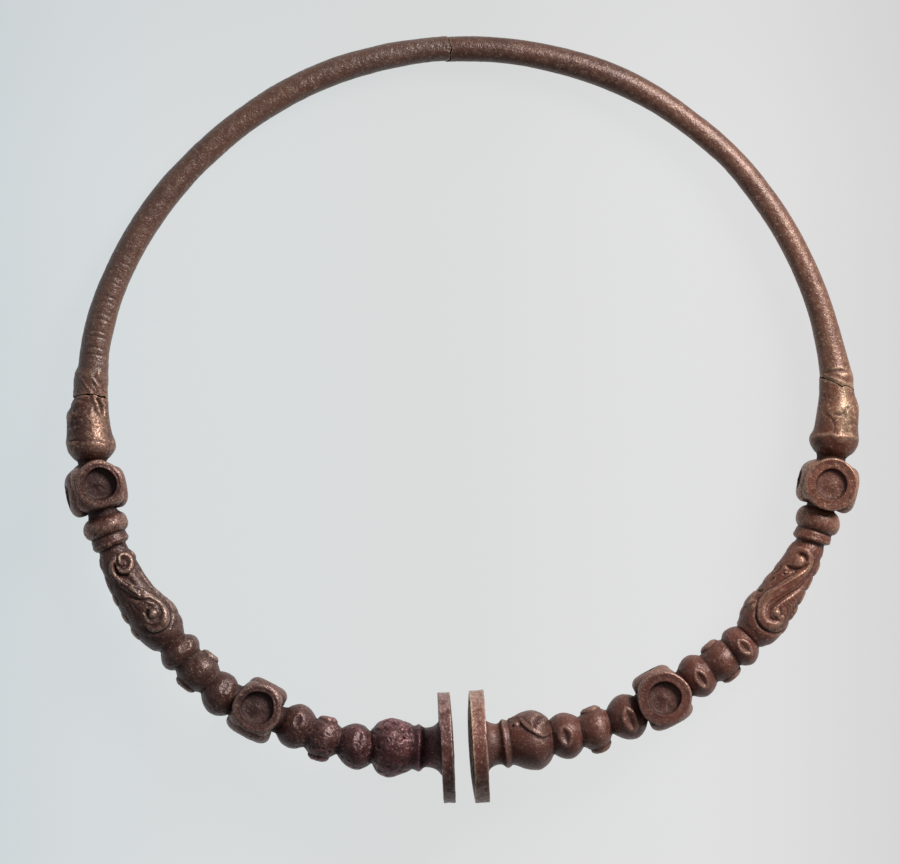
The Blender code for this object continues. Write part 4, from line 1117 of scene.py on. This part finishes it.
def hoop_half(side, name, node, finish, seed):
    """A half of the hoop: a turned rod from its ragged sleeve break to its ragged break at the top."""
    last = hoop_break(side)
    tail, *reaches = HOOP[side][-1]
    stations = in_full((*HOOP[side], ((last + tail) / 2, *reaches), (last, *reaches)))
    rows = spread(curve(stations, 24), FINENESS["hoop"])
    square = turn = np.zeros(len(rows))
    rows, square, turn = close_end(rows, square, turn, False)
    rows, square, turn = close_end(rows, square, turn, True)
    first_row, last_row = len(CLOSING), len(rows) - 1 - len(CLOSING)
    angles = turns_round(HOOP_ROUND)
    points = round_form(rows, square, turn, angles)
    ragged(rows, points, angles, SLEEVE_RAG[side], SLEEVE_BREAK, first_row, 1)
    rag = [(degrees, -side * offset) for degrees, offset in HOOP_RAG]
    ragged(rows, points, angles, rag, (TOP_BREAK[0], -side * TOP_BREAK[1]), last_row, -1)

    along = points[..., 0]
    front = np.broadcast_to(wrapped(angles), along.shape)
    height = np.zeros(along.shape)
    marks = [(HOOP_REACH, mark) for mark in HOOP_RELIEF[side]]
    if side == LEFT:
        marks += [(CUT_REACH, mark) for mark in hoop_cuts()]
    for reach, mark in marks:
        add_relief(height, along, front, reach, *mark)
        add_relief(height, along, wrapped(math.pi - front), reach, *mark, HOOP_BEHIND)
    start, gone, dents = HOOP_CRUMPLED
    age = weathered(points, *HOOP_AGE[side], seed)
    age = crumpled(age, points, 1 - smooth(along, start, gone), dents, seed)
    inside = np.r_[:first_row, last_row + 1:len(rows)]
    points, hollow, wear_and_highlight = finished(points, height, age, inside)
    # painted shade towards the hoop's outer side, painted light towards its inner side
    tone = toned(points, HOOP_TONES[side]) * (1 - HOOP_PAINTED_SHADE[side] * points[..., 1:2])
    shell = Shell()
    shell.add(points, side, hollow, wear_and_highlight, tone)
    shell.piece(name, patina(finish), node)


# Finishes.

# Scales of the patina's noises and spots, for each metre, and the height of its finest relief (m).
CLOUD_SCALE = 130
MOTTLE_SCALE = 900
GRAIN_SCALE = 2500
SPOT_SCALE = 1900
BUMP_HEIGHT = 0.00011

# Each look has five colours, and says how strong each part of the patina is, and how strong the painted
# shade in the hollows and the painted highlights are.
LOOKS = {
    "right_end_bronze": {
        "deep": (0.080, 0.025, 0.018), "skin": (0.125, 0.042, 0.030), "pale": (0.235, 0.125, 0.092),
        "metal": (0.55, 0.38, 0.31), "pit_and_shade_colour": (0.020, 0.008, 0.006), "mottle": 0.35, "specks": 0.50,
        "rubbed": 0.50, "glints": 0.75, "pits": 0.66, "painted_hollow_shade": 0.60, "metallic": 0.15, "sheen": 0.50,
        "rough": 0.40, "bump": 0.70,
    },
    "left_end_bronze": {
        "deep": (0.046, 0.018, 0.018), "skin": (0.078, 0.033, 0.029), "pale": (0.180, 0.116, 0.092),
        "metal": (0.60, 0.45, 0.41), "pit_and_shade_colour": (0.014, 0.0055, 0.0065), "mottle": 0.35, "specks": 0.46,
        "rubbed": 0.58, "glints": 0.72, "pits": 0.72, "painted_hollow_shade": 0.60, "metallic": 0.20, "sheen": 0.42,
        "rough": 0.38, "bump": 0.80,
    },
    "rubbed_bronze": {
        "deep": (0.095, 0.033, 0.024), "skin": (0.145, 0.055, 0.040), "pale": (0.28, 0.16, 0.12),
        "metal": (0.62, 0.42, 0.34), "pit_and_shade_colour": (0.035, 0.018, 0.013), "mottle": 0.35, "specks": 0.55,
        "rubbed": 0.5, "glints": 0.75, "pits": 0.5, "painted_hollow_shade": 0.5, "metallic": 0.25, "sheen": 0.7,
        "rough": 0.41, "bump": 0.75,
    },
    "pitted_bronze": {
        "deep": (0.092, 0.039, 0.027), "skin": (0.125, 0.056, 0.037), "pale": (0.24, 0.150, 0.110),
        "metal": (0.55, 0.41, 0.33), "pit_and_shade_colour": (0.034, 0.016, 0.011), "mottle": 0.30, "specks": 0.55,
        "rubbed": 0.65, "glints": 1.0, "pits": 0.75, "painted_hollow_shade": 0.6, "metallic": 0.08, "sheen": 0.8,
        "rough": 0.40, "bump": 1.0,
    },
}


def add_node(tree, kind, settings=(), inputs=()):
    """A node with its settings, and each input given set, or linked where its value is a socket."""
    node = tree.nodes.new(kind)
    for key, value in dict(settings).items():
        setattr(node, key, value)
    for key, value in dict(inputs).items():
        if isinstance(value, bpy.types.NodeSocket):
            tree.links.new(value, node.inputs[key])
        else:
            node.inputs[key].default_value = value
    return node


def patina(name):
    """Old bronze: a deep red-brown skin in clouds and fine mottles, dark in the pits and darkened in the
    hollows as painted shade, with paler specks and a little bare metal on what is proud, which on the
    rubbed patches is painted highlight too."""
    look = LOOKS[name]
    material = bpy.data.materials.new(name)
    material.use_nodes = True
    tree = material.node_tree
    shader = tree.nodes["Principled BSDF"]
    places = add_node(tree, "ShaderNodeTexCoord").outputs["Object"]

    def noise(scale, detail, roughness=0.55):
        """Noise from 0 to 1, of this many waves in a metre."""
        return add_node(tree, "ShaderNodeTexNoise", {"noise_dimensions": "3D"}, {
            "Vector": places, "Scale": scale, "Detail": detail, "Roughness": roughness,
        }).outputs["Fac"]

    def ranged(value, low, high, to_low=0.0, to_high=1.0):
        """A value carried evenly from one range to another, and held within it."""
        return add_node(tree, "ShaderNodeMapRange", {"clamp": True}, {
            "Value": value, "From Min": low, "From Max": high, "To Min": to_low, "To Max": to_high,
        }).outputs["Result"]

    def mixed(factor, first, second):
        """The first colour, given as a socket or as three values, mixed towards the second."""
        first = (*first, 1) if isinstance(first, tuple) else first
        inputs = {0: factor, 6: first, 7: (*second, 1)}
        return add_node(tree, "ShaderNodeMix", {"data_type": "RGBA"}, inputs).outputs[2]

    def sums(kind, first, second):
        """Two values multiplied, or added and held between 0 and 1."""
        settings = {"operation": kind, "use_clamp": kind == "ADD"}
        return add_node(tree, "ShaderNodeMath", settings, {0: first, 1: second}).outputs[0]

    hollow, wear_and_highlight, tone = (
        add_node(tree, "ShaderNodeAttribute", {"attribute_name": label}).outputs[output]
        for label, output in (("hollow", "Fac"), ("wear_and_highlight", "Fac"), ("tone", "Vector"))
    )
    clouds = noise(CLOUD_SCALE, 3)
    mottles = noise(MOTTLE_SCALE, 4, 0.6)
    grain = noise(GRAIN_SCALE, 2, 0.6)
    spots = add_node(tree, "ShaderNodeTexVoronoi", {}, {"Vector": places, "Scale": SPOT_SCALE})

    # the skin in its clouds, mottles and specks
    skin = mixed(ranged(clouds, 0.36, 0.64), look["deep"], look["skin"])
    skin = mixed(ranged(mottles, 0.46, 0.72, 0, look["mottle"]), skin, look["pale"])
    specks = ranged(grain, 0.52, 0.64, 0, look["specks"])
    skin = mixed(sums("MULTIPLY", specks, ranged(mottles, 0.42, 0.58, 0.25, 1.0)), skin, look["pale"])
    # bare metal where it is worn, and in glints; on the listed patches it is painted highlight too
    rubbed = sums("MULTIPLY", wear_and_highlight, ranged(grain, 0.40, 0.64, 0.2, look["rubbed"]))
    glints = ranged(grain, 0.62, 0.70, 0, look["glints"])
    rubbed = sums("ADD", rubbed, sums("MULTIPLY", glints, ranged(mottles, 0.48, 0.60)))
    colour = mixed(rubbed, skin, look["metal"])
    # dark colour in the pits, and painted shade in the hollows, the cups' holes and the insides of breaks
    pitting = ranged(spots.outputs["Distance"], 0.34, 0.16, 0, look["pits"])
    pitting = sums("MULTIPLY", pitting, ranged(mottles, 0.40, 0.56))
    dark = sums("ADD", ranged(hollow, 0.0, 1.0, 0, look["painted_hollow_shade"]), pitting)
    colour = mixed(dark, colour, look["pit_and_shade_colour"])
    # the tone of the place, which every colour is multiplied by, with the painted shade and painted light it
    # carries
    leaning = add_node(tree, "ShaderNodeVectorMath", {"operation": "MULTIPLY"}, {0: colour, 1: tone})
    roughness = ranged(mottles, 0.3, 0.7, look["rough"] - 0.06, look["rough"] + 0.08)
    relief = sums("ADD", ranged(grain, 0.25, 0.75, 0, 0.6), ranged(mottles, 0.25, 0.75, 0, 0.4))
    bump = add_node(tree, "ShaderNodeBump", {}, {
        "Height": relief, "Strength": look["bump"], "Distance": BUMP_HEIGHT,
    })
    shader.inputs["Specular IOR Level"].default_value = look["sheen"]
    for label, socket in (
        ("Base Color", leaning.outputs["Vector"]),
        ("Metallic", ranged(rubbed, 0, 1, look["metallic"], 0.85)),
        ("Roughness", sums("ADD", roughness, ranged(dark, 0, 1, 0, 0.45))),
        ("Normal", bump.outputs["Normal"]),
    ):
        tree.links.new(socket, shader.inputs[label])
    return material


# What is round the ring.

# The floor's glow from the left of the ring to its right: place across the view (m) and colour.
FLOOR_GLOW = (
    (-0.450, (0.622, 0.645, 0.655)), (-0.095, (0.585, 0.630, 0.650)), (-0.077, (0.622, 0.662, 0.680)),
    (-0.058, (0.648, 0.677, 0.686)), (0.005, (0.676, 0.690, 0.685)), (0.045, (0.710, 0.712, 0.714)),
    (0.065, (0.690, 0.686, 0.687)), (0.090, (0.632, 0.629, 0.630)), (0.450, (0.632, 0.632, 0.632)),
)
# Its strength below and above two places up the view (m), eased from one to the other.
GLOW_EASE = (0.04, 0.085)
GLOW_STRENGTH = (1.01, 0.965)
FLOOR_HALF = 4.0

# Surroundings: colour and strength. Lights: name, direction from the ring in its own axes, distance (m),
# diameter (m), power (W) and colour.
SURROUNDINGS = (0.93, 0.96, 1.0), 0.17
LIGHTS = (
    ("key", (0.62, 0.62, 0.66), 1.1, 0.46, 19.5, (1.0, 0.965, 0.93)),
    ("fill", (-0.8, 0.1, 0.55), 1.3, 0.8, 1.0, (0.88, 0.94, 1.0)),
)

# The camera looks square at the ring, turned a little to its left. Lengths here are in millimetres.
VIEW_TARGET = (-2.04, -5.27, 0.0)
VIEW_TURN = math.radians(2.25)
VIEW_DISTANCE = 2400.0
VIEW_WIDTH = 170.75
SENSOR_WIDTH = 36.0


def floor():
    """A plain pale floor lit from below, as a light table is, a little cooler to the left."""
    mesh = bpy.data.meshes.new("floor")
    corners = [(x * FLOOR_HALF, y * FLOOR_HALF, 0) for x, y in ((-1, -1), (1, -1), (1, 1), (-1, 1))]
    mesh.from_pydata(corners, [], [(0, 1, 2, 3)])
    material = bpy.data.materials.new("pale_floor")
    material.use_nodes = True
    tree = material.node_tree
    shader = tree.nodes["Principled BSDF"]
    shader.inputs["Base Color"].default_value = (0.03, 0.03, 0.03, 1)
    shader.inputs["Roughness"].default_value = 1.0
    shader.inputs["Specular IOR Level"].default_value = 0.0
    places = add_node(tree, "ShaderNodeTexCoord").outputs["Object"]
    apart = add_node(tree, "ShaderNodeSeparateXYZ", {}, {"Vector": places})
    near, far = FLOOR_GLOW[0][0], FLOOR_GLOW[-1][0]
    share = add_node(tree, "ShaderNodeMapRange", {"clamp": True}, {
        "Value": apart.outputs["X"], "From Min": near, "From Max": far, "To Min": 0.0, "To Max": 1.0,
    }).outputs["Result"]
    ramp = add_node(tree, "ShaderNodeValToRGB", {}, {"Fac": share})
    ramp.color_ramp.interpolation = "CARDINAL"
    for place, _ in FLOOR_GLOW[1:-1]:
        ramp.color_ramp.elements.new((place - near) / (far - near))
    for element, (_, colour) in zip(ramp.color_ramp.elements, FLOOR_GLOW):
        element.color = (*colour, 1)
    tree.links.new(ramp.outputs["Color"], shader.inputs["Emission Color"])
    strength = add_node(tree, "ShaderNodeMapRange", {"interpolation_type": "SMOOTHSTEP"}, {
        "Value": apart.outputs["Y"], "From Min": GLOW_EASE[0], "From Max": GLOW_EASE[1],
        "To Min": GLOW_STRENGTH[0], "To Max": GLOW_STRENGTH[1],
    }).outputs["Result"]
    tree.links.new(strength, shader.inputs["Emission Strength"])
    mesh.materials.append(material)
    thing = bpy.data.objects.new("floor", mesh)
    bpy.context.scene.collection.objects.link(thing)
    thing.visible_diffuse = False


def stand_axes():
    """The ring's own axes as the floor sees them."""
    return Matrix.Rotation(STAND_TURN, 3, "X")


def camera():
    """A camera at the photograph's angle, with a long lens: the view is as wide as VIEW_WIDTH at the
    ring."""
    axes = stand_axes()
    away = axes @ Vector((-math.sin(VIEW_TURN), 0, math.cos(VIEW_TURN)))
    up = axes @ Vector((0, 1, 0))
    right = up.cross(away).normalized()
    data = bpy.data.cameras.new("camera")
    data.sensor_width = SENSOR_WIDTH
    data.lens = SENSOR_WIDTH * VIEW_DISTANCE / VIEW_WIDTH
    data.clip_end = 50.0
    thing = bpy.data.objects.new("camera", data)
    target = Vector(laid(np.array(VIEW_TARGET)))
    turn = Matrix((right, up, away)).transposed().to_4x4()
    thing.matrix_world = Matrix.Translation(target + away * VIEW_DISTANCE * MM) @ turn
    bpy.context.scene.collection.objects.link(thing)
    bpy.context.scene.camera = thing


def lights():
    """Dim pale surroundings, and round soft lights that face the ring: a key from the upper right and a
    weak cool fill from the left."""
    colour, strength = SURROUNDINGS
    world = bpy.data.worlds.new("studio")
    world.use_nodes = True
    background = world.node_tree.nodes["Background"]
    background.inputs["Color"].default_value = (*colour, 1)
    background.inputs["Strength"].default_value = strength
    bpy.context.scene.world = world
    for name, direction, distance, size, power, colour in LIGHTS:
        data = bpy.data.lights.new(name, "AREA")
        data.shape = "DISK"
        data.size = size
        data.energy = power
        data.color = colour
        thing = bpy.data.objects.new(name, data)
        away = stand_axes() @ Vector(direction).normalized()
        turn = away.to_track_quat("Z", "Y").to_matrix().to_4x4()
        thing.matrix_world = Matrix.Translation(away * distance) @ turn
        bpy.context.scene.collection.objects.link(thing)
    bpy.context.scene.view_settings.view_transform = "Standard"


camera()
lights()
floor()
decorated_end(RIGHT, "right_end", "end_right", "right_end_bronze", 11)
decorated_end(LEFT, "left_end", "end_left", "left_end_bronze", 23)
hoop_half(RIGHT, "right_hoop", "hoop_right", "rubbed_bronze", 37)
hoop_half(LEFT, "left_hoop", "hoop_left", "pitted_bronze", 41)
